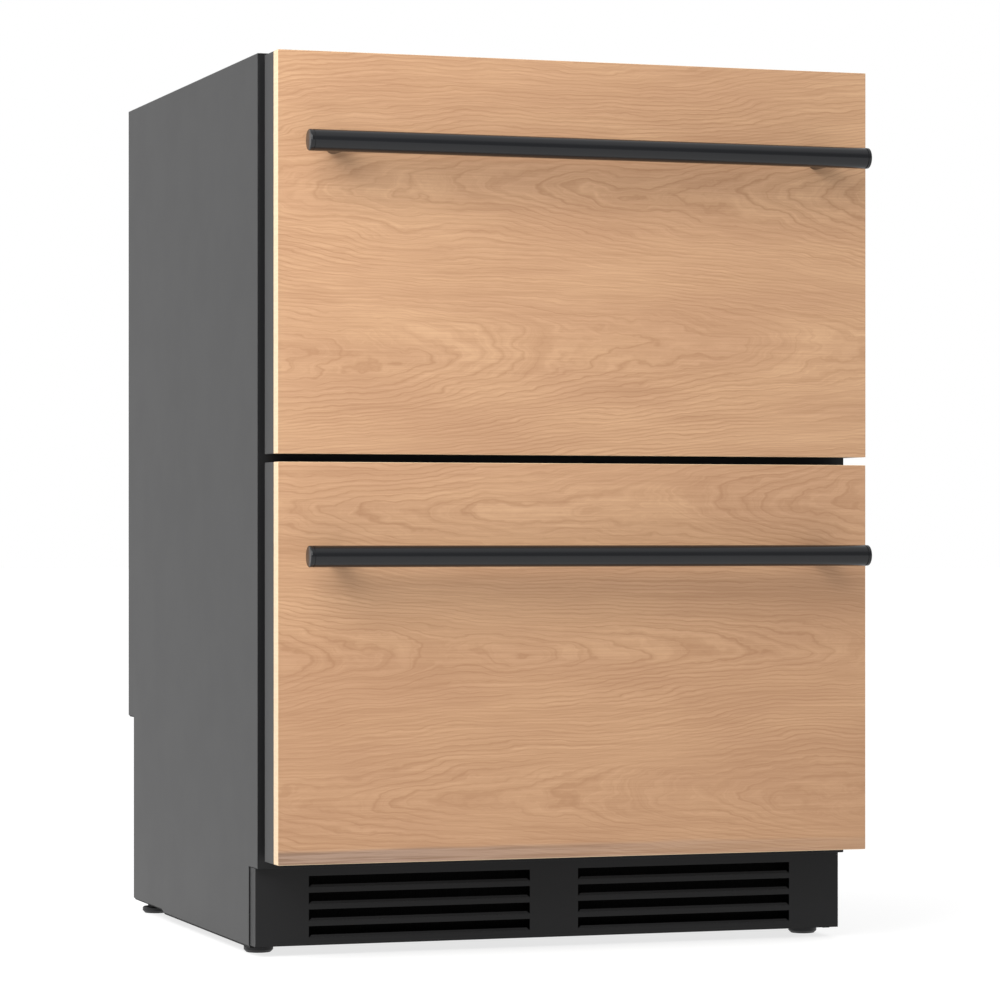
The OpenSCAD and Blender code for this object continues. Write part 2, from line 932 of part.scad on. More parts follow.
// Motor held on the liner's rear wall by a strap bent over at both ends
module evaporator_fan_motor() {
    motor_l = 16;
    strap_t = 2;
    strap_x = 62;
    strap_w = 10;
    wall_y = cavity_back_y - liner_t - evaporator_motor_y;
    color(motor_grey)
        placed()
            translate([0, evaporator_motor_y, evaporator_fan_z]) {
                difference() {
                    rotate([-90, 0, 0]) cylinder(h = motor_l, r = 21);
                    translate([0, -1, 0])
                        rotate([-90, 0, 0]) cylinder(h = 12, r = motor_shaft_r + 0.05);
                }
                block([-strap_x, motor_l, -strap_w / 2], [strap_x, motor_l + strap_t, strap_w / 2]);
                both_sides()
                    block([strap_x - 6, motor_l, -strap_w / 2], [strap_x, wall_y, strap_w / 2]);
            }
}

module evaporator_fan_blade() {
    color(fan_grey)
        placed()
            translate([0, evaporator_motor_y - 18, evaporator_fan_z])
                rotate([-90, 0, 0])
                    fan_wheel(evaporator_fan_d / 2, 13, 14, 5, motor_shaft_r, 12);
}

// Sloping touch fascia below the front of the upper compartment's ceiling
module control_panel() {
    ceiling_z = cavity_top_z - liner_t;
    color(black)
        placed()
            across(220)
                polygon([
                    [6, ceiling_z], [6, ceiling_z - 9], [24, ceiling_z - 17], [30, ceiling_z - 17],
                    [30, ceiling_z]
                ]);
}

module light_lenses() {
    color(plastic_white)
        placed()
            for (ceiling_z = [cavity_top_z - liner_t, lower_top_z - liner_t]) {
                across(240)
                    translate([40, ceiling_z - 4])
                        polygon([[0, 4], [3, 0], [15, 0], [18, 4]]);
            }
}

module temperature_sensor() {
    color(plastic_white)
        placed()
            translate([-180, cover_front_y, upper_floor_z + 273]) {
                rotate([0, 90, 0])
                    translate([0, -4.5, -15]) cylinder(h = 30, r = 4);
                block([-6, -2.5, -8], [6, 0, 8]);
            }
}

// ---------------------------------------------------------------- slides

// Channel along y on the right-hand side: w is measured inwards from the liner's wall
module channel(w_web, w_tip, height, y0, y1, z) {
    gauge = 1.2;
    x_web = liner_x - w_web;
    x_tip = liner_x - w_tip;
    low_x = min(x_web - gauge, x_tip);
    high_x = max(x_web, x_tip);
    block([x_web - gauge, y0, z - height / 2], [x_web, y1, z + height / 2]);
    block([low_x, y0, z - height / 2], [high_x, y1, z - height / 2 + gauge]);
    block([low_x, y0, z + height / 2 - gauge], [high_x, y1, z + height / 2]);
}

module slide_outer_rails() {
    color(bright_steel)
        placed()
            both_sides()
                for (k = [lower, upper]) {
                    channel(0, 11, slide_h, slide_front_y, slide_back_y, slide_z(k));
                }
}

module slide_mid(k) {
    color(bright_steel)
        placed()
            both_sides()
                channel(5.4, 2.2, slide_h - 4.4, slide_front_y + 2, slide_back_y - 2, slide_z(k));
}

module upper_slide_mid() {
    slide_mid(upper);
}

module lower_slide_mid() {
    slide_mid(lower);
}

module slide_inner(k) {
    color(satin_steel)
        placed()
            both_sides()
                channel(11.3, 8, slide_h - 12, bin_front_y, slide_back_y - 4, slide_z(k));
}

module upper_slide_inner() {
    slide_inner(upper);
}

module lower_slide_inner() {
    slide_inner(lower);
}

// ---------------------------------------------------------------- drawers

// Folded steel pan that wraps the front and the edges of the door
module door_shell(k) {
    z = front_z(k);
    color(steel_grey)
        placed()
            difference() {
                block([-front_x, door_front_y, z], [front_x, door_back_y, z + front_h]);
                block(
                    [sheet_t - front_x, door_front_y + sheet_t, z + sheet_t],
                    [front_x - sheet_t, door_back_y + 1, z + front_h - sheet_t]
                );
            }
}

module door_foam(k) {
    z = front_z(k);
    color(foam_cream)
        placed()
            block(
                [sheet_t - front_x, door_front_y + sheet_t, z + sheet_t],
                [front_x - sheet_t, door_back_y - inner_panel_t, z + front_h - sheet_t]
            );
}

module door_liner(k) {
    z = front_z(k);
    color(plastic_white)
        placed()
            block(
                [sheet_t - front_x, door_back_y - inner_panel_t, z + sheet_t],
                [front_x - sheet_t, door_back_y, z + front_h - sheet_t]
            );
}

module gasket(k) {
    z = front_z(k);
    color(black)
        placed()
            difference() {
                block(
                    [gasket_inset - front_x, door_back_y, z + gasket_inset],
                    [front_x - gasket_inset, -seat_gap, z + front_h - gasket_inset]
                );
                block(
                    [gasket_inset + gasket_w - front_x, door_back_y - 1, z + gasket_inset + gasket_w],
                    [front_x - gasket_inset - gasket_w, 1, z + front_h - gasket_inset - gasket_w]
                );
            }
}

module handle_post_spots(k) {
    both_sides()
        translate([side_x - post_inset, front_y, handle_z(k)])
            rotate([90, 0, 0]) children();
}

module front_panel(k) {
    z = front_z(k);
    color(wood)
        placed()
            difference() {
                block([-front_x, front_y, z], [front_x, door_front_y, z + front_h]);
                handle_post_spots(k) {
                    translate([0, 0, -panel_t - 1]) cylinder(h = panel_t + 2, r = screw_r + 0.2);
                    translate([0, 0, -panel_t - 1]) cylinder(h = 5, r = 5.5);
                }
            }
}

module handle_bar(k) {
    color(black)
        placed()
            translate([0, handle_y, handle_z(k)]) chamfered_bar(handle_l, handle_d, 0.8);
}

// Posts saddled to the bar, with a threaded blind hole for the screws
module handle_posts(k) {
    color(black)
        placed()
            difference() {
                handle_post_spots(k)
                    difference() {
                        cylinder(h = handle_standoff, r = post_d / 2);
                        translate([0, 0, -1]) cylinder(h = 19, r = screw_r);
                    }
                translate([0, handle_y, handle_z(k)])
                    rotate([0, 90, 0])
                        cylinder(h = cabinet_w, r = handle_d / 2, center = true);
            }
}

module handle_screws(k) {
    color(bright_steel)
        placed()
            handle_post_spots(k) {
                translate([0, 0, -panel_t + 4]) cylinder(h = panel_t - 4 + 16, r = screw_r);
                translate([0, 0, -panel_t + 0.6]) cylinder(h = 3.4, r = 4.8);
            }
}

module bin_shell(outer, inner) {
    color(satin_steel)
        placed()
            difference() {
                across(2 * bin_x) polygon(outer);
                across(2 * (bin_x - bin_t)) polygon(inner);
            }
}

module upper_door_shell() {
    door_shell(upper);
}

module upper_door_foam() {
    door_foam(upper);
}

module upper_door_liner() {
    door_liner(upper);
}

module upper_gasket() {
    gasket(upper);
}

module upper_front_panel() {
    front_panel(upper);
}

module upper_handle_bar() {
    handle_bar(upper);
}

module upper_handle_posts() {
    handle_posts(upper);
}

module upper_handle_screws() {
    handle_screws(upper);
}

module upper_bin() {
    bin_shell(upper_bin_outline(0, 0), upper_bin_outline(bin_t, 1));
}

module lower_door_shell() {
    door_shell(lower);
}

module lower_door_foam() {
    door_foam(lower);
}

module lower_door_liner() {
    door_liner(lower);
}

module lower_gasket() {
    gasket(lower);
}

module lower_front_panel() {
    front_panel(lower);
}

module lower_handle_bar() {
    handle_bar(lower);
}

module lower_handle_posts() {
    handle_posts(lower);
}

module lower_handle_screws() {
    handle_screws(lower);
}

module lower_bin() {
    bin_shell(lower_bin_outline(0, 0), lower_bin_outline(bin_t, 1));
}

side_panel_left();
side_panel_right();
top_panel();
rear_panel();
bottom_skin();
face_frame();
upper_liner();
lower_liner();
foam_insulation();
base_pan();
foot_inserts();
kick_plate();
air_baffle();
machine_cover();
machine_cover_screws();
condenser_coil();
condenser_fan_shroud();
condenser_fan_motor();
condenser_fan_blade();
compressor();
compressor_grommets();
drip_pan();
refrigerant_tubes();
filter_drier();
control_box();
cord_inlet();
evaporator_coil();
evaporator_cover();
evaporator_fan_motor();
evaporator_fan_blade();
control_panel();
light_lenses();
temperature_sensor();
slide_outer_rails();
upper_slide_mid();
lower_slide_mid();
foot_front_left();
foot_front_right();
foot_rear_left();
foot_rear_right();
upper_door_shell();
upper_door_foam();
upper_door_liner();
upper_gasket();
upper_front_panel();
upper_handle_bar();
upper_handle_posts();
upper_handle_screws();
upper_bin();
upper_slide_inner();
lower_door_shell();
lower_door_foam();
lower_door_liner();
lower_gasket();
lower_front_panel();
lower_handle_bar();
lower_handle_posts();
lower_handle_screws();
lower_bin();
lower_slide_inner();
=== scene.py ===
"""Looks of the under-counter drawer refrigerator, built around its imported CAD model. Metres."""
import json
import math

import bmesh
import bpy
from mathutils import Matrix, Vector


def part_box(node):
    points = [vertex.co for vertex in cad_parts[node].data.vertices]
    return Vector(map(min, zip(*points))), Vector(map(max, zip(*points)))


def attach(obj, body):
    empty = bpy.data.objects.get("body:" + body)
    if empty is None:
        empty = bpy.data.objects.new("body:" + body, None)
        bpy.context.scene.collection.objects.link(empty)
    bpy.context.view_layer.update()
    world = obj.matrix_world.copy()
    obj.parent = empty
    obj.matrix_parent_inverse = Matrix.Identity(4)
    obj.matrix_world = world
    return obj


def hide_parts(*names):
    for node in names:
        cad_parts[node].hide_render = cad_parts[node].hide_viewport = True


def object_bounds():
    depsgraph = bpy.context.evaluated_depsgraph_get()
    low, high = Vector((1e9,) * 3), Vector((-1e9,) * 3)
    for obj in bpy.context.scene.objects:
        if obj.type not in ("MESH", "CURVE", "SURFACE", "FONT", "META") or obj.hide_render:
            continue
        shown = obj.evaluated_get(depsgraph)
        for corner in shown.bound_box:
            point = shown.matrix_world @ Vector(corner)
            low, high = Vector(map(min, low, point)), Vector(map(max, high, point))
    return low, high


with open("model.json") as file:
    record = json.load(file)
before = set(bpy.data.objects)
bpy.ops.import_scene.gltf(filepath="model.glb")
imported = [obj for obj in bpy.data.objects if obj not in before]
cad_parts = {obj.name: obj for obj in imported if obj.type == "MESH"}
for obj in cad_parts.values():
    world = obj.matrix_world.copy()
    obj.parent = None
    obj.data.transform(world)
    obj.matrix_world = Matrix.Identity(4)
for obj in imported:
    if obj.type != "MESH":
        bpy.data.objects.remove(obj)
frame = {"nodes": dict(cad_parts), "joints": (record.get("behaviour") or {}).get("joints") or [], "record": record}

CAD_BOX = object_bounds()
MM = 0.001
DRAWERS = ("lower", "upper")
nodes = frame["nodes"]


# ---------------------------------------------------------------- materials

class Surface:
    """A Principled material whose textures follow the object's own coordinates, in metres."""

    def __init__(self, name, colour, roughness, metallic=0.0, **sockets):
        self.material = bpy.data.materials.new(name)
        self.material.use_nodes = True
        self.tree = self.material.node_tree
        self.shader = self.tree.nodes["Principled BSDF"]
        self.shader.inputs["Base Color"].default_value = (*colour, 1)
        self.shader.inputs["Roughness"].default_value = roughness
        self.shader.inputs["Metallic"].default_value = metallic
        for socket, value in sockets.items():
            self.shader.inputs[socket.replace("_", " ")].default_value = value
        self.where = self.tree.nodes.new("ShaderNodeTexCoord").outputs["Object"]

    def node(self, kind, **settings):
        made = self.tree.nodes.new(kind)
        for key, value in settings.items():
            setattr(made, key, value)
        return made

    def feed(self, socket, value):
        """Links an output to a socket, or sets a number on it."""
        if isinstance(value, bpy.types.NodeSocket):
            self.tree.links.new(value, socket)
        else:
            socket.default_value = value

    def math(self, operation, a, b=0.0, c=0.0):
        made = self.node("ShaderNodeMath", operation=operation)
        for socket, value in zip(made.inputs, (a, b, c)):
            self.feed(socket, value)
        return made.outputs[0]

    def stretched(self, per_metre, offset=(0, 0, 0)):
        """The coordinates times a number of features per metre along each axis."""
        made = self.node("ShaderNodeMapping")
        self.feed(made.inputs["Vector"], self.where)
        made.inputs["Location"].default_value = offset
        made.inputs["Scale"].default_value = per_metre
        return made.outputs[0]

    def noise(self, per_metre, detail=2.0, offset=(0, 0, 0), roughness=0.5, at=None):
        """Noise from 0 to 1 with a number of features per metre, the same or one for each axis.

        It follows the object's coordinates, or those given in at, which are used as they are.
        """
        if not hasattr(per_metre, "__len__"):
            per_metre = (per_metre,) * 3
        made = self.node("ShaderNodeTexNoise")
        self.feed(made.inputs["Vector"], at or self.stretched(per_metre, offset))
        made.inputs["Scale"].default_value = 1.0
        made.inputs["Detail"].default_value = detail
        made.inputs["Roughness"].default_value = roughness
        return made.outputs["Fac"]

    def combined(self, x, y, z):
        made = self.node("ShaderNodeCombineXYZ")
        for socket, value in zip(made.inputs, (x, y, z)):
            self.feed(socket, value)
        return made.outputs[0]

    def spread(self, value, low, high, to_low=0.0, to_high=1.0):
        """Maps low..high to to_low..to_high, clamped and smooth."""
        made = self.node("ShaderNodeMapRange", interpolation_type="SMOOTHSTEP")
        for socket, number in zip(made.inputs, (value, low, high, to_low, to_high)):
            self.feed(socket, number)
        return made.outputs[0]

    def mix(self, share, a, b):
        made = self.node("ShaderNodeMix", data_type="RGBA")
        for socket, value in ((made.inputs[0], share), (made.inputs[6], a), (made.inputs[7], b)):
            self.feed(socket, (*value, 1) if isinstance(value, tuple) else value)
        return made.outputs[2]

    def colour(self, socket):
        self.feed(self.shader.inputs["Base Color"], socket)

    def rough(self, share, low, high):
        self.feed(self.shader.inputs["Roughness"], self.spread(share, 0.3, 0.7, low, high))

    def bump(self, height, depth, strength=1.0):
        """Bumps of a given depth in metres."""
        made = self.node("ShaderNodeBump")
        made.inputs["Strength"].default_value = strength
        made.inputs["Distance"].default_value = depth
        self.feed(made.inputs["Height"], height)
        self.feed(self.shader.inputs["Normal"], made.outputs[0])


def scaled(colour, by):
    return tuple(c * by for c in colour)


def powder_coat(name, colour, roughness, level=0.3, grain=0.05, uneven=0.006):
    """Baked powder paint: a fine orange peel, with slightly uneven gloss and tone."""
    s = Surface(name, colour, roughness, Specular_IOR_Level=level)
    cloud = s.noise(7.0, 3.0)
    s.colour(s.mix(s.spread(cloud, 0.3, 0.7), scaled(colour, 0.94), scaled(colour, 1.06)))
    s.rough(s.noise(22.0, 4.0), roughness - uneven, roughness + uneven)
    peel = s.noise(420.0, 1.5)
    fine = s.noise(1500.0, 1.0)
    s.bump(s.math("MULTIPLY_ADD", fine, 0.35, peel), grain * MM, 0.35)
    return s.material


def moulded(name, colour, roughness, level=0.5, texture=1400.0, depth=0.02):
    """Injection-moulded plastic with a fine etched texture."""
    s = Surface(name, colour, roughness, Specular_IOR_Level=level)
    s.colour(s.mix(s.spread(s.noise(5.0, 3.0), 0.3, 0.7), scaled(colour, 0.96), colour))
    s.rough(s.noise(30.0, 3.0), roughness - 0.04, roughness + 0.04)
    s.bump(s.noise(texture, 1.0), depth * MM, 0.4)
    return s.material


def rubber(name, colour):
    """Soft extruded vinyl or rubber with a dull bloom."""
    s = Surface(name, colour, 0.62, Specular_IOR_Level=0.35)
    s.colour(s.mix(s.spread(s.noise(60.0, 4.0), 0.35, 0.75), colour, scaled(colour, 1.6)))
    s.rough(s.noise(140.0, 3.0), 0.52, 0.72)
    s.bump(s.noise(900.0, 2.0), 0.03 * MM, 0.5)
    return s.material


def rolled_steel(name, colour, roughness, along=(4.0, 900.0, 900.0), depth=0.004):
    """Sheet or drawn metal with fine rolling lines along one axis."""
    s = Surface(name, colour, roughness, 1.0)
    lines = s.noise(along, 3.0, roughness=0.6)
    s.colour(s.mix(s.spread(lines, 0.35, 0.65), scaled(colour, 0.95), colour))
    s.rough(lines, roughness - 0.02, roughness + 0.04)
    s.bump(lines, depth * MM, 0.3)
    return s.material


def galvanised(name, colour):
    """Hot-dipped sheet with the flat crystals of its zinc."""
    s = Surface(name, colour, 0.42, 1.0)
    cells = s.node("ShaderNodeTexVoronoi")
    s.feed(cells.inputs["Vector"], s.stretched((150.0, 150.0, 150.0)))
    cells.inputs["Scale"].default_value = 1.0
    crystal = s.node("ShaderNodeSeparateColor")
    s.feed(crystal.inputs[0], cells.outputs["Color"])
    s.colour(s.mix(crystal.outputs[0], scaled(colour, 0.9), colour))
    s.rough(crystal.outputs[1], 0.38, 0.46)
    s.bump(s.noise(260.0, 2.0), 0.01 * MM, 0.4)
    return s.material


MAPLE_TONES = (0.528, 0.323, 0.185), (0.468, 0.276, 0.159), (0.29, 0.145, 0.07)
EDGE_BANDING = (0.70, 0.52, 0.33), (0.56, 0.38, 0.23)
STREAK_GREYS = (0.25, 0.19, 0.16), (0.12, 0.085, 0.07)

# The rings of the maple: how far noise bends the rows of hearts, in metres, how many rings lie
# between a heart and the steep place beside it, and the swings that noise adds to them, as
# features per metre, rings and detail
HEART_BEND = 0.05
RINGS_TO_HEART = 13.0
RING_SWINGS = (
    ((4.5, 1.0, 15.0), 7.0, 1.0),
    ((15.0, 1.0, 40.0), 2.6, 1.0),
    ((60.0, 1.0, 130.0), 0.8, 1.0),
    ((190.0, 1.0, 420.0), 0.16, 2.0),
)
# Darkness at places through a ring, from 0 to 1
LATE_WOOD = ((0.0, 0.75), (0.05, 1.0), (0.16, 0.4), (0.45, 0.0), (0.9, 0.15), (1.0, 0.7))

# The most that each feature of the maple darkens it
LINE_STRENGTH = 0.56
GROWTH_STRENGTH = 0.34
FIBRE_STRENGTH = 0.3
STRAND_STRENGTH = 0.18
FLECK_STRENGTH = 0.2
# Tone that changes from ring to ring: its features per metre along x, and per ring across them
GROWTH_ALONG_X = 6.0
GROWTH_PER_RING = 3.1


def maple(name, hearts_z, heart_step, taper, seed, tone_level=1.0, streak=None):
    """Flat-sawn maple veneer with its grain along x.

    The growth rings are the contour lines of a height field. It is level at the hearts, every
    heart_step from hearts_z, where the lines close into loops, and steep halfway between them.
    taper is how many rings it gains in a metre along x, which draws the loops out to one side.
    seed picks the part of each noise that this board shows. streak is the height of a grey band
    along the lower edge, if there is one; the board is also darker towards that edge, as painted
    shade.
    """
    light, rose, deep = (scaled(colour, tone_level) for colour in MAPLE_TONES)
    s = Surface(name, light, 0.42, Specular_IOR_Level=0.38)
    split = s.node("ShaderNodeSeparateXYZ")
    s.feed(split.inputs[0], s.where)
    x, z = split.outputs[0], split.outputs[2]

    rings = growth_rings(s, x, z, hearts_z, heart_step, taper, seed)
    fibre = s.noise((11.0, 60.0, 700.0), 4.0, (0, seed, 0), 0.65)
    fleck = s.spread(s.noise((90.0, 60.0, 1300.0), 1.0, (seed, 0, 0)), 0.62, 0.74)
    strands = s.noise((7.0, 1.0, 230.0), 3.0, (seed, 0, seed), 0.6)
    cloud = s.noise((4.0, 1.0, 17.0), 4.0, (0, seed, 3), 0.6)
    fade = s.spread(s.noise((5.0, 1.0, 11.0), 2.0, (seed * 1.7, 0, 0)), 0.3, 0.65, 0.35, 1.0)
    lines = s.math("MULTIPLY", late_wood_lines(s, rings), fade)
    along_rings = s.combined(
        s.math("MULTIPLY", x, GROWTH_ALONG_X), seed, s.math("MULTIPLY", rings, GROWTH_PER_RING)
    )
    growth = s.noise(1.0, 4.0, roughness=0.7, at=along_rings)

    tone = s.mix(s.spread(cloud, 0.38, 0.66), light, rose)
    for share in (
        s.math("MULTIPLY", lines, LINE_STRENGTH),
        s.spread(growth, 0.35, 0.7, 0.0, GROWTH_STRENGTH),
        s.spread(fibre, 0.35, 0.7, 0.0, FIBRE_STRENGTH),
        s.spread(strands, 0.4, 0.72, 0.0, STRAND_STRENGTH),
        s.math("MULTIPLY", fleck, FLECK_STRENGTH),
    ):
        tone = s.mix(share, tone, deep)
    # Painted shade: the board darkens towards its lower edge, where the grey band lies
    if streak:
        tone = grey_band_and_painted_shade(s, x, z, tone, deep, streak, seed)

    facing = s.node("ShaderNodeSeparateXYZ")
    s.feed(facing.inputs[0], s.node("ShaderNodeTexCoord").outputs["Normal"])
    front = s.spread(s.math("ABSOLUTE", facing.outputs[1]), 0.75, 0.95)
    edge = s.mix(s.spread(fibre, 0.35, 0.7, 0.0, FIBRE_STRENGTH), *EDGE_BANDING)
    s.colour(s.mix(front, edge, tone))
    s.rough(fibre, 0.38, 0.5)
    s.bump(s.math("MULTIPLY_ADD", fleck, -0.5, fibre), 0.03 * MM, 0.35)
    return s.material


def growth_rings(s, x, z, hearts_z, heart_step, taper, seed):
    """The height field whose contour lines are the rings, in rings."""
    bend = s.math("MULTIPLY_ADD", s.noise((2.2, 1.0, 5.0), 1.0, (0, seed, 0)), HEART_BEND, z)
    level = s.math("SUBTRACT", bend, hearts_z + HEART_BEND / 2)
    phase = s.math("MULTIPLY", level, math.pi / heart_step)
    rings = s.math("MULTIPLY", s.math("COSINE", phase), RINGS_TO_HEART)
    rings = s.math("MULTIPLY_ADD", x, taper, rings)
    for per_metre, count, detail in RING_SWINGS:
        swing = s.noise(per_metre, detail, (seed, seed * 2.3, 0))
        rings = s.math("MULTIPLY_ADD", swing, count, rings)
    return rings


def late_wood_lines(s, rings):
    """Darkness through each ring: a sharp line of late wood that fades into the next ring."""
    late_wood = s.node("ShaderNodeValToRGB")
    ramp = late_wood.color_ramp.elements
    for end, (position, dark) in zip(ramp, (LATE_WOOD[0], LATE_WOOD[-1])):
        end.position, end.color = position, (dark, dark, dark, 1)
    for position, dark in LATE_WOOD[1:-1]:
        ramp.new(position).color = (dark, dark, dark, 1)
    s.feed(late_wood.inputs[0], s.math("FRACT", rings))
    return late_wood.outputs[0]


def grey_band_and_painted_shade(s, x, z, tone, deep, height, seed):
    """Painted shade darkening a board downwards, and a wavy grey band at a height, fading to +x."""
    # Painted shade: up to 0.27 of the way to the deep tone at the bottom, gone 400 mm above the band
    tone = s.mix(s.spread(z, height - 20 * MM, height + 400 * MM, 0.27, 0.0), tone, deep)
    wavy = s.math("MULTIPLY_ADD", s.noise((5.0, 1.0, 40.0), 3.0, (0, seed, 9)), 8 * MM, z)
    band = s.spread(wavy, height + 2 * MM, height + 6 * MM, 0.6, 0.0)
    fading = s.spread(x, -250 * MM, 300 * MM, 1.0, 0.3)
    strands = s.noise((9.0, 1.0, 420.0), 3.0, (0, seed, 5))
    grey = s.mix(s.spread(strands, 0.42, 0.62), *STREAK_GREYS)
    return s.mix(s.math("MULTIPLY", band, fading), tone, grey)


def glowing(name, colour, strength):
    s = Surface(name, colour, 0.25, Emission_Color=(*colour, 1), Emission_Strength=strength)
    s.rough(s.noise(400.0, 2.0), 0.2, 0.35)
    s.bump(s.noise((900.0, 40.0, 40.0), 1.0), 0.02 * MM, 0.5)
    return s.material


def foam(name):
    s = Surface(name, (0.83, 0.74, 0.45), 0.9)
    cells = s.noise(500.0, 3.0)
    s.colour(s.mix(s.spread(cells, 0.3, 0.7), (0.70, 0.58, 0.30), (0.86, 0.78, 0.5)))
    s.bump(cells, 0.3 * MM, 0.8)
    return s.material


def all_materials():
    lower_low, lower_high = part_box("lower_front_panel")
    upper_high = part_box("upper_front_panel")[1]
    return {
        "cabinet_paint": powder_coat("cabinet_paint", (0.010, 0.010, 0.0105), 0.42, 0.26),
        "frame_paint": powder_coat("frame_paint", (0.008, 0.008, 0.0085), 0.45, 0.22),
        "base_paint": powder_coat("base_paint", (0.004, 0.004, 0.004), 0.6, 0.15),
        "handle_black": powder_coat("handle_black", (0.004, 0.0045, 0.0058), 0.2, 0.4, 0.008),
        "compressor_paint": powder_coat("compressor_paint", (0.012, 0.012, 0.013), 0.25, 0.5),
        "motor_metal": powder_coat("motor_metal", (0.10, 0.105, 0.11), 0.45),
        "coil_paint": powder_coat("coil_paint", (0.012, 0.012, 0.013), 0.5),
        "galvanised_steel": galvanised("galvanised_steel", (0.50, 0.52, 0.54)),
        "zinc_hardware": rolled_steel("zinc_hardware", (0.70, 0.70, 0.68), 0.3, (300, 300, 300)),
        "slide_steel": rolled_steel("slide_steel", (0.66, 0.67, 0.69), 0.28, (900, 3, 900)),
        "bin_steel": rolled_steel("bin_steel", (0.60, 0.61, 0.62), 0.34, (900, 14, 900)),
        "coil_aluminium": rolled_steel("coil_aluminium", (0.72, 0.73, 0.75), 0.35),
        "copper_tube": rolled_steel("copper_tube", (0.72, 0.36, 0.22), 0.3, (300, 300, 300)),
        "liner_plastic": moulded("liner_plastic", (0.72, 0.73, 0.745), 0.32),
        "white_plastic": moulded("white_plastic", (0.8, 0.8, 0.8), 0.4),
        "grey_plastic": moulded("grey_plastic", (0.42, 0.43, 0.44), 0.5),
        "black_plastic": moulded("black_plastic", (0.02, 0.02, 0.021), 0.5),
        "foot_plastic": moulded("foot_plastic", (0.012, 0.012, 0.013), 0.5, 0.35),
        "fan_plastic": moulded("fan_plastic", (0.55, 0.57, 0.6), 0.4),
        "gloss_black": moulded("gloss_black", (0.006, 0.006, 0.007), 0.08, 0.5, 60.0, 0.002),
        "gasket_rubber": rubber("gasket_rubber", (0.010, 0.010, 0.011)),
        "black_rubber": rubber("black_rubber", (0.015, 0.015, 0.015)),
        "light_lens": glowing("light_lens", (0.93, 0.96, 1.0), 3.0),
        "insulation_foam": foam("insulation_foam"),
        "upper_maple": maple("upper_maple", upper_high.z - 124 * MM, 0.152, 22.0, 3.1),
        "lower_maple": maple(
            "lower_maple", lower_high.z - 38 * MM, 0.141, 20.0, 7.7, 1.02, lower_low.z + 12 * MM
        ),
    }


def material_for(node, slots):
    if node.endswith("front_panel"):
        return materials[node.split("_")[0] + "_maple"]
    return materials[slots[node]]


def dress(obj, material):
    obj.data.materials.clear()
    obj.data.materials.append(material)


def ease_edges(obj, width):
    """Rounds the sharp edges of a piece with modifiers, which leave its mesh as it is.

    The flat faces are joined first, and nothing slides along them, because the bevel would fold
    the thin triangles that run from hole to hole.
    """
    obj.modifiers.new("weld", "WELD").merge_threshold = 1e-6
    flat = obj.modifiers.new("flat", "DECIMATE")
    flat.decimate_type = "DISSOLVE"
    flat.angle_limit = math.radians(0.5)
    bevel = obj.modifiers.new("edges", "BEVEL")
    bevel.loop_slide = False
    bevel.width = width
    bevel.segments = 2
    bevel.limit_method = "ANGLE"
    bevel.angle_limit = math.radians(40)
    bevel.harden_normals = True


materials = all_materials()
slot_of = {row["node"]: row["material_slot"] for row in frame["record"]["subparts"]}
for name, obj in nodes.items():
    dress(obj, material_for(name, slot_of))


# ---------------------------------------------------------------- stage

STAGE_RADIUS = 40.0


def placed(name, data):
    """Puts a new object with its mesh, light or camera data into the scene."""
    obj = bpy.data.objects.new(name, data)
    bpy.context.scene.collection.objects.link(obj)
    return obj


def meshed(name, shape):
    """Makes an object from a bmesh, which it frees."""
    mesh = bpy.data.meshes.new(name)
    shape.to_mesh(mesh)
    shape.free()
    return placed(name, mesh)


def make_floor():
    shape = bmesh.new()
    bmesh.ops.create_grid(shape, x_segments=1, y_segments=1, size=STAGE_RADIUS)
    floor = meshed("floor", shape)
    floor.location.z = CAD_BOX[0].z - 0.2 * MM
    s = Surface("floor_white", (0.3, 0.3, 0.3), 0.9, Specular_IOR_Level=0.1,
                Emission_Color=(1, 1, 1, 1), Emission_Strength=0.76)
    s.colour(s.mix(s.noise(0.8, 3.0), (0.28, 0.28, 0.28), (0.32, 0.32, 0.32)))
    dress(floor, s.material)


def make_backdrop():
    """White dome that only the camera sees, so that it doesn't light the object."""
    shape = bmesh.new()
    bmesh.ops.create_uvsphere(shape, u_segments=64, v_segments=32, radius=STAGE_RADIUS)
    backdrop = meshed("backdrop", shape)
    white = Surface("backdrop_white", (0, 0, 0), 1.0, Specular_IOR_Level=0.0,
                    Emission_Color=(1, 1, 1, 1), Emission_Strength=1.0)
    dress(backdrop, white.material)
    for rays in ("diffuse", "glossy", "transmission", "volume_scatter", "shadow"):
        setattr(backdrop, "visible_" + rays, False)


def make_studio():
    """White surroundings, bright behind and overhead, and dimmer in front, most so to the right.

    x, y and z are the parts of the direction that a ray looks in, from -1 to 1.
    """
    world = bpy.data.worlds.new("studio")
    bpy.context.scene.world = world
    world.use_nodes = True
    tree = world.node_tree
    background = tree.nodes["Background"]
    split = tree.nodes.new("ShaderNodeSeparateXYZ")
    tree.links.new(tree.nodes.new("ShaderNodeTexCoord").outputs["Generated"], split.inputs[0])

    def eased(value, low, high, to_low, to_high):
        made = tree.nodes.new("ShaderNodeMapRange")
        made.interpolation_type = "SMOOTHSTEP"
        tree.links.new(value, made.inputs[0])
        for socket, number in zip(made.inputs[1:5], (low, high, to_low, to_high)):
            socket.default_value = number
        return made.outputs[0]

    def joined(operation, a, b):
        made = tree.nodes.new("ShaderNodeMath")
        made.operation = operation
        tree.links.new(a, made.inputs[0])
        tree.links.new(b, made.inputs[1])
        return made.outputs[0]

    x, y, z = split.outputs
    behind = eased(y, -0.35, 0.05, 0.0, 1.0)
    left_to_right = eased(x, -0.9, 0.5, 0.67, 0.42)
    overhead = eased(z, 0.45, 0.8, 0.0, 0.55)
    strength = joined("MAXIMUM", behind, joined("ADD", left_to_right, overhead))
    tree.links.new(strength, background.inputs["Strength"])
    background.inputs["Color"].default_value = (1, 1, 1, 1)


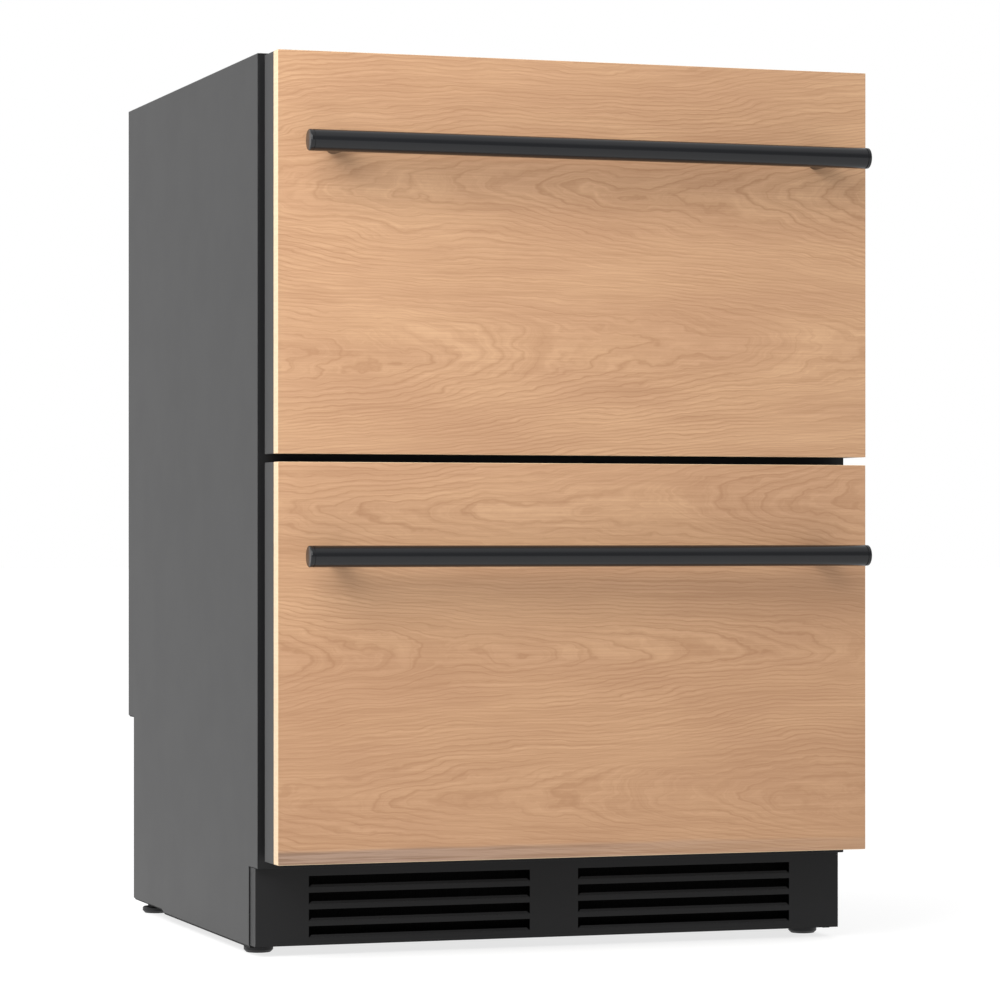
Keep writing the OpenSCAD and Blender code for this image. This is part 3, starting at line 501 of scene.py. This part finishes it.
def make_key_light():
    """Square softbox in front, above and to the left, turned to the left half of the fronts."""
    at, aim = Vector((-1.2, -1.3, 1.4)), Vector((-0.25, -0.3, 0.75))
    light = bpy.data.lights.new("key", "AREA")
    light.shape = "SQUARE"
    light.size = 1.3
    light.spread = math.radians(110)
    light.energy = 16.5
    obj = placed("key", light)
    obj.location = at
    obj.rotation_euler = (aim - at).to_track_quat("-Z", "Y").to_euler()


def make_camera():
    """Level camera at the photograph's view: at mid height, in front and to the left."""
    left_of_corner, before_corner, height = 0.93242, 3.48617, 0.3973
    turn_right = math.radians(18.571)
    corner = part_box("side_panel_left")[0]
    data = bpy.data.cameras.new("camera")
    data.sensor_width = 36.0
    data.lens = 138.87
    data.shift_y = 0.0335
    data.clip_end = 5 * STAGE_RADIUS
    camera = placed("camera", data)
    camera.location = (corner.x - left_of_corner, corner.y - before_corner, CAD_BOX[0].z + height)
    camera.rotation_euler = (math.radians(90), 0, -turn_right)
    bpy.context.scene.camera = camera


make_floor()
make_backdrop()
make_studio()
make_camera()
make_key_light()
bpy.context.scene.view_settings.view_transform = "Standard"
bpy.context.scene.view_settings.look = "None"


# ---------------------------------------------------------------- mesh tools

def finish_piece(name, shape, body, material, replaced=None, smooth=35):
    """Makes a piece from a bmesh, riding on a body, and smooth up to an angle in degrees."""
    bmesh.ops.recalc_face_normals(shape, faces=shape.faces)
    for face in shape.faces:
        face.smooth = True
    for edge in shape.edges:
        edge.smooth = len(edge.link_faces) == 2 and edge.calc_face_angle() < math.radians(smooth)
    obj = meshed(name, shape)
    dress(obj, material)
    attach(obj, body)
    if replaced:
        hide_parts(replaced)
    return obj


def lofted(shape, rings, loop=False):
    """Skins rings that have the same number of points, with closed ends or in a loop."""
    made = [[shape.verts.new(point) for point in ring] for ring in rings]
    pairs = list(zip(made, made[1:])) + ([(made[-1], made[0])] if loop else [])
    for one, two in pairs:
        for i in range(len(one)):
            j = (i + 1) % len(one)
            shape.faces.new((one[i], one[j], two[j], two[i]))
    if not loop:
        shape.faces.new(reversed(made[0]))
        shape.faces.new(made[-1])


def turned(shape, profile, centre, axis, steps, loop=False):
    """Turns a profile of (distance along the axis, radius) pairs about a line.

    A profile that goes round in a loop stays off the axis.
    """
    axis = Vector(axis).normalized()
    side = axis.orthogonal().normalized()
    up = axis.cross(side)
    lofted(shape, [
        [
            Vector(centre) + axis * along
            + (side * math.cos(angle) + up * math.sin(angle)) * radius
            for angle in (2 * math.pi * i / steps for i in range(steps))
        ]
        for along, radius in profile
    ], loop)


def quarter_turn(steps):
    """Angles from 0 to a right angle in even steps."""
    return [math.pi / 2 * i / steps for i in range(steps + 1)]


def in_mm(pairs):
    return [(a * MM, b * MM) for a, b in pairs]


def spaced(first, last, count):
    return [first + (last - first) * i / (count - 1) for i in range(count)]


def brick(shape, low, high):
    """A plain block, used many at a time for fins, wires and ball cages."""
    x0, y0, z0 = low
    x1, y1, z1 = high
    lofted(shape, [[(x, y0, z0), (x, y1, z0), (x, y1, z1), (x, y0, z1)] for x in (x0, x1)])


def rect_rings(low, high, profile, face_y, outwards):
    """Rings around an upright rectangle, from (inset, height) pairs measured off its face."""
    return [
        [
            (x, face_y + outwards * height, z)
            for x, z in (
                (low.x + inset, low.z + inset), (high.x - inset, low.z + inset),
                (high.x - inset, high.z - inset), (low.x + inset, high.z - inset),
            )
        ]
        for inset, height in profile
    ]


def rounded_tray(outline, half_w, radius, open_face):
    """A box of an outline in y and z, open on one side, with all its other edges rounded.

    open_face tells from a face whether it's the side that is left out.
    """
    shape = bmesh.new()
    lofted(shape, [[(x, y, z) for y, z in outline] for x in (-half_w, half_w)])
    bmesh.ops.recalc_face_normals(shape, faces=shape.faces)
    bmesh.ops.delete(shape, geom=[f for f in shape.faces if open_face(f)], context="FACES_ONLY")
    inner = [e for e in shape.edges if not e.is_boundary]
    bmesh.ops.bevel(
        shape, geom=inner, offset=radius, segments=5, profile=0.5, affect="EDGES",
        clamp_overlap=False,
    )
    bmesh.ops.remove_doubles(shape, verts=shape.verts, dist=1e-5)
    return shape


def thicken(obj, thickness, outwards):
    solid = obj.modifiers.new("sheet", "SOLIDIFY")
    solid.thickness = thickness
    solid.offset = 1 if outwards else -1
    solid.use_even_offset = True


# ---------------------------------------------------------------- carried-over CAD nodes

# How wide the rounding of their edges is, in mm
EASED = {
    "side_panel_left": 0.5, "side_panel_right": 0.5, "top_panel": 0.5, "face_frame": 0.3,
    "kick_plate": 0.2, "base_pan": 0.4, "control_box": 1.5, "drip_pan": 0.6,
}
# Known fault: 0.9 mm is more than half of the door shells' 1.2 mm rim, and the bevel folds the
# upper one's rim across its opening
for drawer in DRAWERS:
    EASED[drawer + "_door_shell"] = 0.9
    EASED[drawer + "_front_panel"] = 0.8
for name, width in EASED.items():
    ease_edges(nodes[name], width * MM)


# ---------------------------------------------------------------- drawers

def make_handle_bar(drawer):
    """Bar with rounded ends and a fine groove where each end cap is pushed in."""
    low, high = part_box(drawer + "_handle_bar")
    length = high.x - low.x
    clearance, fillet = 0.02 * MM, 1.2 * MM
    radius = min(high.z - low.z, high.y - low.y) / 2 - clearance
    near_axis = 0.02 * radius
    groove, width, depth = 3.2 * MM, 1.1 * MM, 0.6 * MM
    half = [(0.0, near_axis)]
    half += [
        (fillet * (1 - math.cos(turn)), radius - fillet * (1 - math.sin(turn)))
        for turn in quarter_turn(5)
    ]
    half += [
        (groove, radius), (groove + 0.1 * width, radius - depth),
        (groove + 0.9 * width, radius - depth), (groove + width, radius),
    ]
    profile = half + [(length - along, r) for along, r in reversed(half)]
    shape = bmesh.new()
    centre = (low.x, (low.y + high.y) / 2, (low.z + high.z) / 2)
    turned(shape, profile, centre, (1, 0, 0), 72)
    finish_piece(
        drawer + "_handle", shape, drawer + "_drawer", materials["handle_black"],
        drawer + "_handle_bar",
    )


# Outer side of the gasket's section, as inset and height in mm: the flange, one bellows fold and
# the magnet's pocket
GASKET_SIDE = (
    (0.0, 0.0), (0.0, 1.4), (1.2, 1.9), (3.5, 4.2), (3.9, 4.9), (3.5, 5.6), (1.5, 7.3),
    (1.2, 8.0), (1.5, 8.7), (0.5, 9.2), (0.1, 10.0), (0.1, 12.7), (0.6, 13.4), (1.4, 13.7),
)


def make_gasket(drawer):
    """Magnetic gasket with a bellows fold, mitred at the corners."""
    low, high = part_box(drawer + "_gasket")
    width, reach = 16 * MM, high.y - low.y
    side = [(inset, min(height, reach)) for inset, height in in_mm(GASKET_SIDE)]
    profile = side + [(width - inset, height) for inset, height in reversed(side)]
    shape = bmesh.new()
    lofted(shape, rect_rings(low, high, profile, low.y, 1), loop=True)
    finish_piece(
        drawer + "_bellows_gasket", shape, drawer + "_drawer", materials["gasket_rubber"],
        drawer + "_gasket", smooth=50,
    )


# Section of the door liner's face from its edge inwards, as inset and height in mm
DOOR_LINER_FACE = (
    (0, -0.3), (0.6, 0), (2.2, 0), (3.0, -1.1), (20.0, -1.1), (21.5, 0), (34, 0), (37, -0.9),
    (44, -0.9), (47, 0),
)


def make_door_liner(drawer):
    """Thermoformed inner skin of the door, with a groove for the gasket and a raised field."""
    low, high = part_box(drawer + "_door_liner")
    profile = [(0.0, low.y - high.y)] + in_mm(DOOR_LINER_FACE)
    shape = bmesh.new()
    lofted(shape, rect_rings(low, high, profile, high.y, 1))
    finish_piece(
        drawer + "_inner_door", shape, drawer + "_drawer", materials["liner_plastic"],
        drawer + "_door_liner",
    )


# The lower bin and compartment step up over the machine room: the step's size along y and z
BIN_STEP = (175 * MM, 113 * MM)
ROOM_STEP = (222 * MM, 113 * MM)


def stepped_outline(low, high, step=None):
    """Outline in y and z of a box, or of one with a step cut from its rear, lower corner."""
    if not step:
        return [(low.y, low.z), (high.y, low.z), (high.y, high.z), (low.y, high.z)]
    edge_y, edge_z = high.y - step[0], low.z + step[1]
    return [
        (low.y, low.z), (edge_y, low.z), (edge_y, edge_z), (high.y, edge_z),
        (high.y, high.z), (low.y, high.z),
    ]


BIN_SHEET = 1.2 * MM
BIN_RADIUS = 16 * MM
# How far each bend of the bin's hem lies inwards from the last one, and above it, in mm
BIN_HEM = ((1.2, 0.0), (4.6, 0.0), (1.0, -1.0), (0.0, -5.0))


def make_bin(drawer):
    """Pressed sheet-metal bin with a hemmed rim, and its floor ribs as pieces of the same sheet."""
    low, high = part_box(drawer + "_bin")
    step = BIN_STEP if drawer == "lower" else None

    def is_open_top(face):
        return face.normal.z > 0.9 and face.calc_center_median().z > high.z - MM

    shape = rounded_tray(stepped_outline(low, high, step), high.x, BIN_RADIUS, is_open_top)
    rim = [e for e in shape.edges if e.is_boundary]
    centre_y = (low.y + high.y) / 2
    for inwards, rise in in_mm(BIN_HEM):
        made = bmesh.ops.extrude_edge_only(shape, edges=rim)["geom"]
        for vert in (v for v in made if isinstance(v, bmesh.types.BMVert)):
            vert.co = (
                moved_inwards(vert.co.x, inwards),
                centre_y + moved_inwards(vert.co.y - centre_y, inwards),
                vert.co.z + rise,
            )
        rim = [e for e in made if isinstance(e, bmesh.types.BMEdge)]
    tray = finish_piece(
        drawer + "_bin_pan", shape, drawer + "_drawer", materials["bin_steel"], drawer + "_bin",
        smooth=50,
    )
    thicken(tray, BIN_SHEET, False)

    ribs = bmesh.new()
    sunk = 0.2 * MM
    front_margin, rear_margin, upper_margin = 40 * MM, 40 * MM, 30 * MM
    step_y = high.y - step[0] if step else high.y
    add_floor_ribs(ribs, low.y + front_margin, step_y - rear_margin, low.z + BIN_SHEET - sunk)
    if step:
        add_floor_ribs(
            ribs, step_y + upper_margin, high.y - upper_margin, low.z + step[1] + BIN_SHEET - sunk
        )
    finish_piece(
        drawer + "_bin_ribs", ribs, drawer + "_drawer", materials["bin_steel"],
        smooth=60,
    )


def moved_inwards(value, distance):
    """A value moved towards 0, or left where it is if it's there already."""
    return value * (1 - distance / abs(value)) if abs(value) > 1e-6 else value


def add_floor_ribs(shape, y0, y1, z):
    """Pressed ribs along y side by side, with round ends and round backs."""
    each_side, pitch, half_w, height = 4, 46 * MM, 5 * MM, 1.8 * MM
    thinnest, back_steps = 0.03, 8
    rings = [
        (y0 + half_w * (1 - math.cos(turn)), max(math.sin(turn), thinnest))
        for turn in quarter_turn(6)
    ]
    rings += [(y1 + y0 - y, share) for y, share in reversed(rings)]
    for i in range(-each_side, each_side + 1):
        lofted(shape, [
            [
                (
                    i * pitch + half_w * share * math.cos(turn), y,
                    z + height * share * math.sin(turn),
                )
                for turn in (math.pi * k / back_steps for k in range(back_steps + 1))
            ]
            for y, share in rings
        ])


def make_slide_balls(drawer):
    """Ball cages in the races above and below each middle channel."""
    low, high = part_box(drawer + "_slide_mid")
    balls_in_race, ball_r, ball_pitch, first_ball = 14, 1.5 * MM, 12 * MM, 28 * MM
    race_z, race_depth = 3.6 * MM, 1.4 * MM
    cage_half, cage_start, cage_end, cage_depth = 2.2 * MM, 20 * MM, 190 * MM, race_depth + 0.3 * MM
    balls, cages = bmesh.new(), bmesh.new()
    for side in (-1, 1):
        near, far = sorted((side * high.x, side * (high.x + cage_depth)))
        for z in (low.z + race_z, high.z - race_z):
            brick(
                cages, (near, low.y + cage_start, z - cage_half),
                (far, low.y + cage_end, z + cage_half),
            )
            for i in range(balls_in_race):
                at = (side * (high.x + race_depth), low.y + first_ball + i * ball_pitch, z)
                bmesh.ops.create_icosphere(
                    balls, subdivisions=2, radius=ball_r, matrix=Matrix.Translation(at)
                )
    for name, shape, slot in (("balls", balls, "zinc_hardware"), ("cages", cages, "white_plastic")):
        finish_piece(
            drawer + "_slide_" + name, shape, drawer + "_slide_middle", materials[slot],
        )


# ---------------------------------------------------------------- cabinet

LINER_SKIN = 2 * MM
LINER_RADIUS = 14 * MM


def make_liner(drawer):
    """Thermoformed compartment with rounded inner corners, and the flange around its opening."""
    low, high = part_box(drawer + "_liner")
    low = low + Vector((LINER_SKIN, 0, LINER_SKIN))
    high = high - Vector((LINER_SKIN, LINER_SKIN, LINER_SKIN))

    def is_open_front(face):
        return face.normal.y < -0.9 and face.calc_center_median().y < low.y + MM

    outline = stepped_outline(low, high, ROOM_STEP if drawer == "lower" else None)
    shape = rounded_tray(outline, high.x, LINER_RADIUS, is_open_front)
    liner = finish_piece(
        drawer + "_compartment", shape, "root", materials["liner_plastic"], drawer + "_liner",
        smooth=50,
    )
    thicken(liner, LINER_SKIN, True)
    make_liner_flange(drawer, low, high)


def make_liner_flange(drawer, low, high):
    """Flat flange from the liner's rounded opening out to the square one of the face frame."""
    steps, reach = 8, LINER_RADIUS + LINER_SKIN
    inner, outer = [], []
    for side_x, side_z, start in ((1, 1, 0), (-1, 1, 90), (-1, -1, 180), (1, -1, 270)):
        centre_x = side_x * (high.x - LINER_RADIUS)
        centre_z = high.z - LINER_RADIUS if side_z > 0 else low.z + LINER_RADIUS
        for i in range(steps + 1):
            turn = math.radians(start + 90 * i / steps)
            cos, sin = math.cos(turn), math.sin(turn)
            far = reach / max(abs(cos), abs(sin))
            inner.append((centre_x + LINER_RADIUS * cos, centre_z + LINER_RADIUS * sin))
            outer.append((centre_x + far * cos, centre_z + far * sin))
    shape = bmesh.new()
    y0, y1 = low.y + 0.3 * MM, low.y + 1.4 * MM
    lofted(shape, [
        [(x, y, z) for x, z in loop]
        for loop, y in ((inner, y0), (outer, y0), (outer, y1), (inner, y1))
    ], loop=True)
    finish_piece(
        drawer + "_liner_flange", shape, "root", materials["liner_plastic"],
    )


def make_rear_panel():
    """Rear sheet stiffened by three shallow fields, which stand out from its border."""
    low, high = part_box("rear_panel")
    fields, press, ramp = 3, 0.9 * MM, 2.5 * MM
    sheet = high.y - low.y - press
    border, rib = 30 * MM, 34 * MM
    field_h = (high.z - low.z - 2 * border - (fields - 1) * rib) / fields
    levels = [low.z]
    for i in range(fields):
        bottom = low.z + border + i * (field_h + rib)
        levels += [bottom, bottom + field_h]
    levels.append(high.z)
    columns = [low.x, low.x + border, high.x - border, high.x]
    shape = bmesh.new()
    grid = [[shape.verts.new((x, high.y - press, z)) for z in levels] for x in columns]
    raised = []
    for i in range(len(columns) - 1):
        for j in range(len(levels) - 1):
            face = shape.faces.new((grid[i][j], grid[i][j + 1], grid[i + 1][j + 1], grid[i + 1][j]))
            if i == 1 and j % 2 == 1:
                raised.append(face)
    shape.normal_update()
    bmesh.ops.inset_individual(shape, faces=raised, thickness=ramp, depth=press)
    rim = [e for e in shape.edges if e.is_boundary]
    made = bmesh.ops.extrude_edge_only(shape, edges=rim)["geom"]
    for vert in (v for v in made if isinstance(v, bmesh.types.BMVert)):
        vert.co.y -= sheet
    back = [e for e in made if isinstance(e, bmesh.types.BMEdge) and e.is_boundary]
    bmesh.ops.edgenet_fill(shape, edges=back)
    finish_piece(
        "pressed_rear_panel", shape, "root", materials["galvanised_steel"], "rear_panel",
        smooth=10,
    )


# Section of a screw head with its recess, as (height over the rear panel's fields, radius) in mm
SCREW_HEAD = (
    (-1.0, 0.1), (-1.0, 3.8), (-0.55, 3.7), (-0.2, 3.0), (0.0, 1.8), (0.0, 1.1), (-0.5, 0.9),
    (-0.5, 0.05),
)


def make_panel_screws():
    """Low pan-head screws around the rear panel."""
    low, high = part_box("rear_panel")
    margin, lower_margin = 12 * MM, 40 * MM
    left, right, top = low.x + margin, high.x - margin, high.z - margin
    spots = [(x, z) for x in (left, right) for z in spaced(low.z + lower_margin, top, 4)]
    spots += [(x, top) for x in spaced(left, right, 4)[1:-1]]
    shape = bmesh.new()
    for x, z in spots:
        turned(shape, in_mm(SCREW_HEAD), (x, high.y, z), (0, 1, 0), 20)
    finish_piece(
        "rear_panel_screws", shape, "root", materials["zinc_hardware"]
    )


def make_cover_louvres():
    """Pressed hoods over the vents of the machine room's cover, open along their lower edge."""
    low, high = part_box("machine_cover")
    length, pitch, rows, lowest = 174 * MM, 14 * MM, 9, 36 * MM
    shape = bmesh.new()
    for first_x in (-207 * MM, 33 * MM):
        for row in range(rows):
            add_hood(shape, first_x, first_x + length, high.y, low.z + lowest + row * pitch)
    finish_piece(
        "machine_cover_louvres", shape, "root", materials["galvanised_steel"],
    )


def add_hood(shape, x0, x1, y, z):
    """A hood whose section is a quarter of an ellipse, tapering to the plate at both ends."""
    height, reach, sheet, taper = 8 * MM, 4.5 * MM, 0.8 * MM, 8 * MM
    least_share, least_reach, sunk = 0.08, 0.1 * MM, 0.2 * MM
    stations = [
        (x0 + taper * (1 - math.cos(turn)), max(math.sin(turn), least_share))
        for turn in quarter_turn(5)
    ]
    stations += [(x0 + x1 - x, share) for x, share in reversed(stations)]
    rings = []
    for x, share in stations:
        outer_reach = reach * share
        inner_reach = max(outer_reach - sheet, least_reach)
        outside, inside = [], []
        for turn in quarter_turn(6):
            cos, sin = math.cos(turn), math.sin(turn)
            outside.append((x, y + outer_reach * cos, z + height * sin))
            inside.append((x, y + inner_reach * cos - sunk, z + (height - sheet) * sin))
        rings.append(outside + inside[::-1])
    lofted(shape, rings)


def make_fins(name, node, axis, shrink, gaps, per_gap, material):
    """Thin fins in the gaps between a coil's CAD fins, which stand evenly along x or y.

    shrink is how far the fins keep inside the coil's box, in mm, at its low and high corners.
    """
    low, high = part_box(node)
    low, high = low + Vector(shrink[0]) * MM, high - Vector(shrink[1]) * MM
    half = 0.12 * MM
    shape = bmesh.new()
    places = spaced(low[axis], high[axis], gaps * per_gap + 1)
    for place in (p for i, p in enumerate(places) if i % per_gap):
        fin_low, fin_high = low.copy(), high.copy()
        fin_low[axis], fin_high[axis] = place - half, place + half
        brick(shape, fin_low, fin_high)
    finish_piece(name, shape, "root", materials[material])


# The fan blades, where two values stand for the root and the tip
BLADE_STATIONS, BLADE_POINTS = 9, 8
BLADE_PITCH = math.radians(46), math.radians(26)
BLADE_CHORD = 0.42, 0.76  # in tip radii
BLADE_THICKNESS = 1.9 * MM, 1.0 * MM
BLADE_SWEEP = 0.35  # in radians, at the tip
BLADE_CAMBER = 0.09  # in chords
BLADE_EDGE = 0.15 * MM
BLADE_DEPTH_SHARE = 0.92
BLADE_GAP = 0.3 * MM  # from the wheel's front and back planes
TIP_CLEARANCE = 0.4 * MM
TIP_ROUNDING = 0.75, 12, 0.05  # where it starts, how fast it grows and the least square of a chord


def from_to(ends, share):
    return ends[0] + (ends[1] - ends[0]) * share


def make_fan(node, joint_name, body, tip_r, hub_r, depth, blades):
    """Moulded fan wheel: a domed hub and twisted, swept blades that thin towards their tips."""
    joint = next(j for j in frame["joints"] if j["name"] == joint_name)
    axis = Vector(joint["axis"])
    low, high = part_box(node)
    middle = Vector(joint["pos_m"])
    start = middle + axis * (low - middle).dot(axis)
    shaft_end, bore_r = (high - start).dot(axis), 2.5 * MM
    shape = bmesh.new()
    hub = [
        (0.0, 0.02 * hub_r), (0.0, 0.55 * hub_r), (0.06 * depth, 0.8 * hub_r),
        (0.2 * depth, 0.96 * hub_r), (0.35 * depth, hub_r), (depth, hub_r),
        (depth, 0.75 * hub_r), (0.7 * depth, 0.7 * hub_r), (0.7 * depth, 3.6 * MM),
        (depth, 3.4 * MM), (depth, bore_r), (shaft_end, bore_r), (shaft_end, 0.1 * MM),
    ]
    turned(shape, hub, start, axis, 40)
    for blade in range(blades):
        lofted(shape, [
            blade_section(
                start, axis, 2 * math.pi * blade / blades, station / (BLADE_STATIONS - 1),
                tip_r, 0.9 * hub_r, depth,
            )
            for station in range(BLADE_STATIONS)
        ])
    finish_piece(body + "_wheel", shape, body, materials["fan_plastic"], node, smooth=50)


def blade_section(start, axis, turn, out, tip_r, root_r, depth):
    """Points around a fan blade at a share of its length, where it wraps around the axis."""
    side = axis.orthogonal().normalized()
    up = axis.cross(side)
    radius = from_to((root_r, tip_r - TIP_CLEARANCE), out)
    pitch = from_to(BLADE_PITCH, out)
    rounding_start, growth, least = TIP_ROUNDING
    round_off = math.sqrt(max(1 - max(out - rounding_start, 0) ** 2 * growth, least))
    widest = min(
        BLADE_DEPTH_SHARE * depth / math.sin(pitch), tip_r * from_to(BLADE_CHORD, out)
    )
    chord = widest * round_off
    thick = from_to(BLADE_THICKNESS, out)
    upper, lower = [], []
    for k in range(BLADE_POINTS + 1):
        along = k / BLADE_POINTS - 0.5
        bulge = max(1 - 4 * along * along, 0.0)
        camber = BLADE_CAMBER * chord * bulge
        half = max(thick * math.sqrt(bulge) / 2, BLADE_EDGE)
        for loop, offset in ((upper, camber + half), (lower, camber - half)):
            around = (along * chord * math.cos(pitch) - offset * math.sin(pitch)) / radius
            depthwise = depth / 2 + along * chord * math.sin(pitch) + offset * math.cos(pitch)
            angle = turn + BLADE_SWEEP * out * out + around
            loop.append(
                start + axis * min(max(depthwise, BLADE_GAP), depth - BLADE_GAP)
                + (side * math.cos(angle) + up * math.sin(angle)) * radius
            )
    return upper + lower[::-1]


# Sections of a touch key's ring and of the lamp in it, as (height, radius) in mm
TOUCH_RING = ((-0.3, 3.4), (0.12, 3.45), (0.12, 4.1), (-0.3, 4.15))
TOUCH_LAMP = ((-0.2, 0.05), (-0.2, 0.9), (0.1, 0.85), (0.15, 0.5), (0.16, 0.05))


def make_control_panel():
    """Touch fascia: a soft-edged housing whose slope carries a row of touch rings with lamps."""
    low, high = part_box("control_panel")
    keys, key_pitch = 5, 36 * MM
    drop, back = high.z - 9 * MM, low.y + 18 * MM
    shape = bmesh.new()
    outline = [(low.y, high.z), (low.y, drop), (back, low.z), (high.y, low.z), (high.y, high.z)]
    lofted(shape, [[(x, y, z) for y, z in outline] for x in (low.x, high.x)])
    bmesh.ops.bevel(
        shape, geom=list(shape.edges), offset=1.2 * MM, segments=3, profile=0.5, affect="EDGES"
    )
    finish_piece(
        "touch_fascia", shape, "root", materials["gloss_black"], "control_panel", smooth=40,
    )
    slope = (Vector((0, back, low.z)) - Vector((0, low.y, drop))).normalized()
    normal = Vector((0, slope.z, -slope.y))
    if normal.z > 0:
        normal = -normal
    middle = Vector((0, (low.y + back) / 2, (drop + low.z) / 2))
    rings, lamps = bmesh.new(), bmesh.new()
    for i in range(keys):
        spot = middle + Vector(((i - (keys - 1) / 2) * key_pitch, 0, 0))
        turned(rings, in_mm(TOUCH_RING), spot, normal, 32, loop=True)
        turned(lamps, in_mm(TOUCH_LAMP), spot, normal, 16)
    finish_piece("touch_rings", rings, "root", materials["white_plastic"])
    finish_piece("touch_lamps", lamps, "root", materials["light_lens"])


def make_screen_with_shade_tray():
    """Woven dust filter behind the slots of the kick plate, framed and standing on a tray.

    The tray is a black sheet of painted shade: it closes the gap in front of the base pan, between and beside the
    kick plate's tabs, over floor that would lie in shade.
    """
    low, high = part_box("kick_plate")
    kick_back, pan_front = low.y + 1.6 * MM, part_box("base_pan")[0].y - 0.5 * MM
    y = low.y + 18 * MM
    z0, z1 = low.z + 2.6 * MM, high.z - 4 * MM
    wire_half, pitch, bar_half = 0.6 * MM, 1.5 * MM, 1.5 * MM
    bar_front, bar_back = y - 1 * MM, y + 2 * MM
    outer_x, inner_x, shade_tray_sheet = 286 * MM, 3 * MM, 0.8 * MM
    shape = bmesh.new()
    for x0, x1 in ((-outer_x, -inner_x), (inner_x, outer_x)):
        for x in spaced(x0, x1, round((x1 - x0) / pitch)):
            brick(shape, (x - wire_half, y - wire_half, z0), (x + wire_half, y + wire_half, z1))
        for z in spaced(z0, z1, round((z1 - z0) / pitch)):
            brick(
                shape, (x0, y + wire_half, z - wire_half), (x1, y + 3 * wire_half, z + wire_half)
            )
        for z in (z0, z1):
            brick(shape, (x0, bar_front, z - bar_half), (x1, bar_back, z + bar_half))
        for x in (x0, x1):
            brick(shape, (x - bar_half, bar_front, z0), (x + bar_half, bar_back, z1))
    # Painted shade: black tray over the floor under the kick plate
    for x0, x1 in in_mm(((-290, -256), (-224, 224), (256, 290))):
        brick(shape, (x0, kick_back, low.z), (x1, pan_front, low.z + shade_tray_sheet))
    screen_and_shade_tray_black = powder_coat("screen_and_shade_tray_paint", (0.0015, 0.0015, 0.0015), 0.7, 0.05)
    finish_piece("screen_with_shade_tray", shape, "root", screen_and_shade_tray_black, smooth=1)


for drawer in DRAWERS:
    make_handle_bar(drawer)
    make_gasket(drawer)
    make_door_liner(drawer)
    make_bin(drawer)
    make_slide_balls(drawer)
    make_liner(drawer)
make_rear_panel()
make_panel_screws()
make_cover_louvres()
make_control_panel()
make_screen_with_shade_tray()
make_fins(
    "condenser_fins", "condenser_coil", 1, ((0.5, 24, 10.5), (0.5, 27, 0.5)), 13, 4, "coil_paint"
)
make_fins(
    "evaporator_fins", "evaporator_coil", 0, ((21, 0.5, 0.5), (21, 0.5, 0.5)), 14, 6,
    "coil_aluminium",
)
make_fan("condenser_fan_blade", "condenser_fan_spin", "condenser_fan", 60 * MM, 18 * MM, 24 * MM, 5)
make_fan(
    "evaporator_fan_blade", "evaporator_fan_spin", "evaporator_fan", 42 * MM, 13 * MM, 14 * MM, 5
)
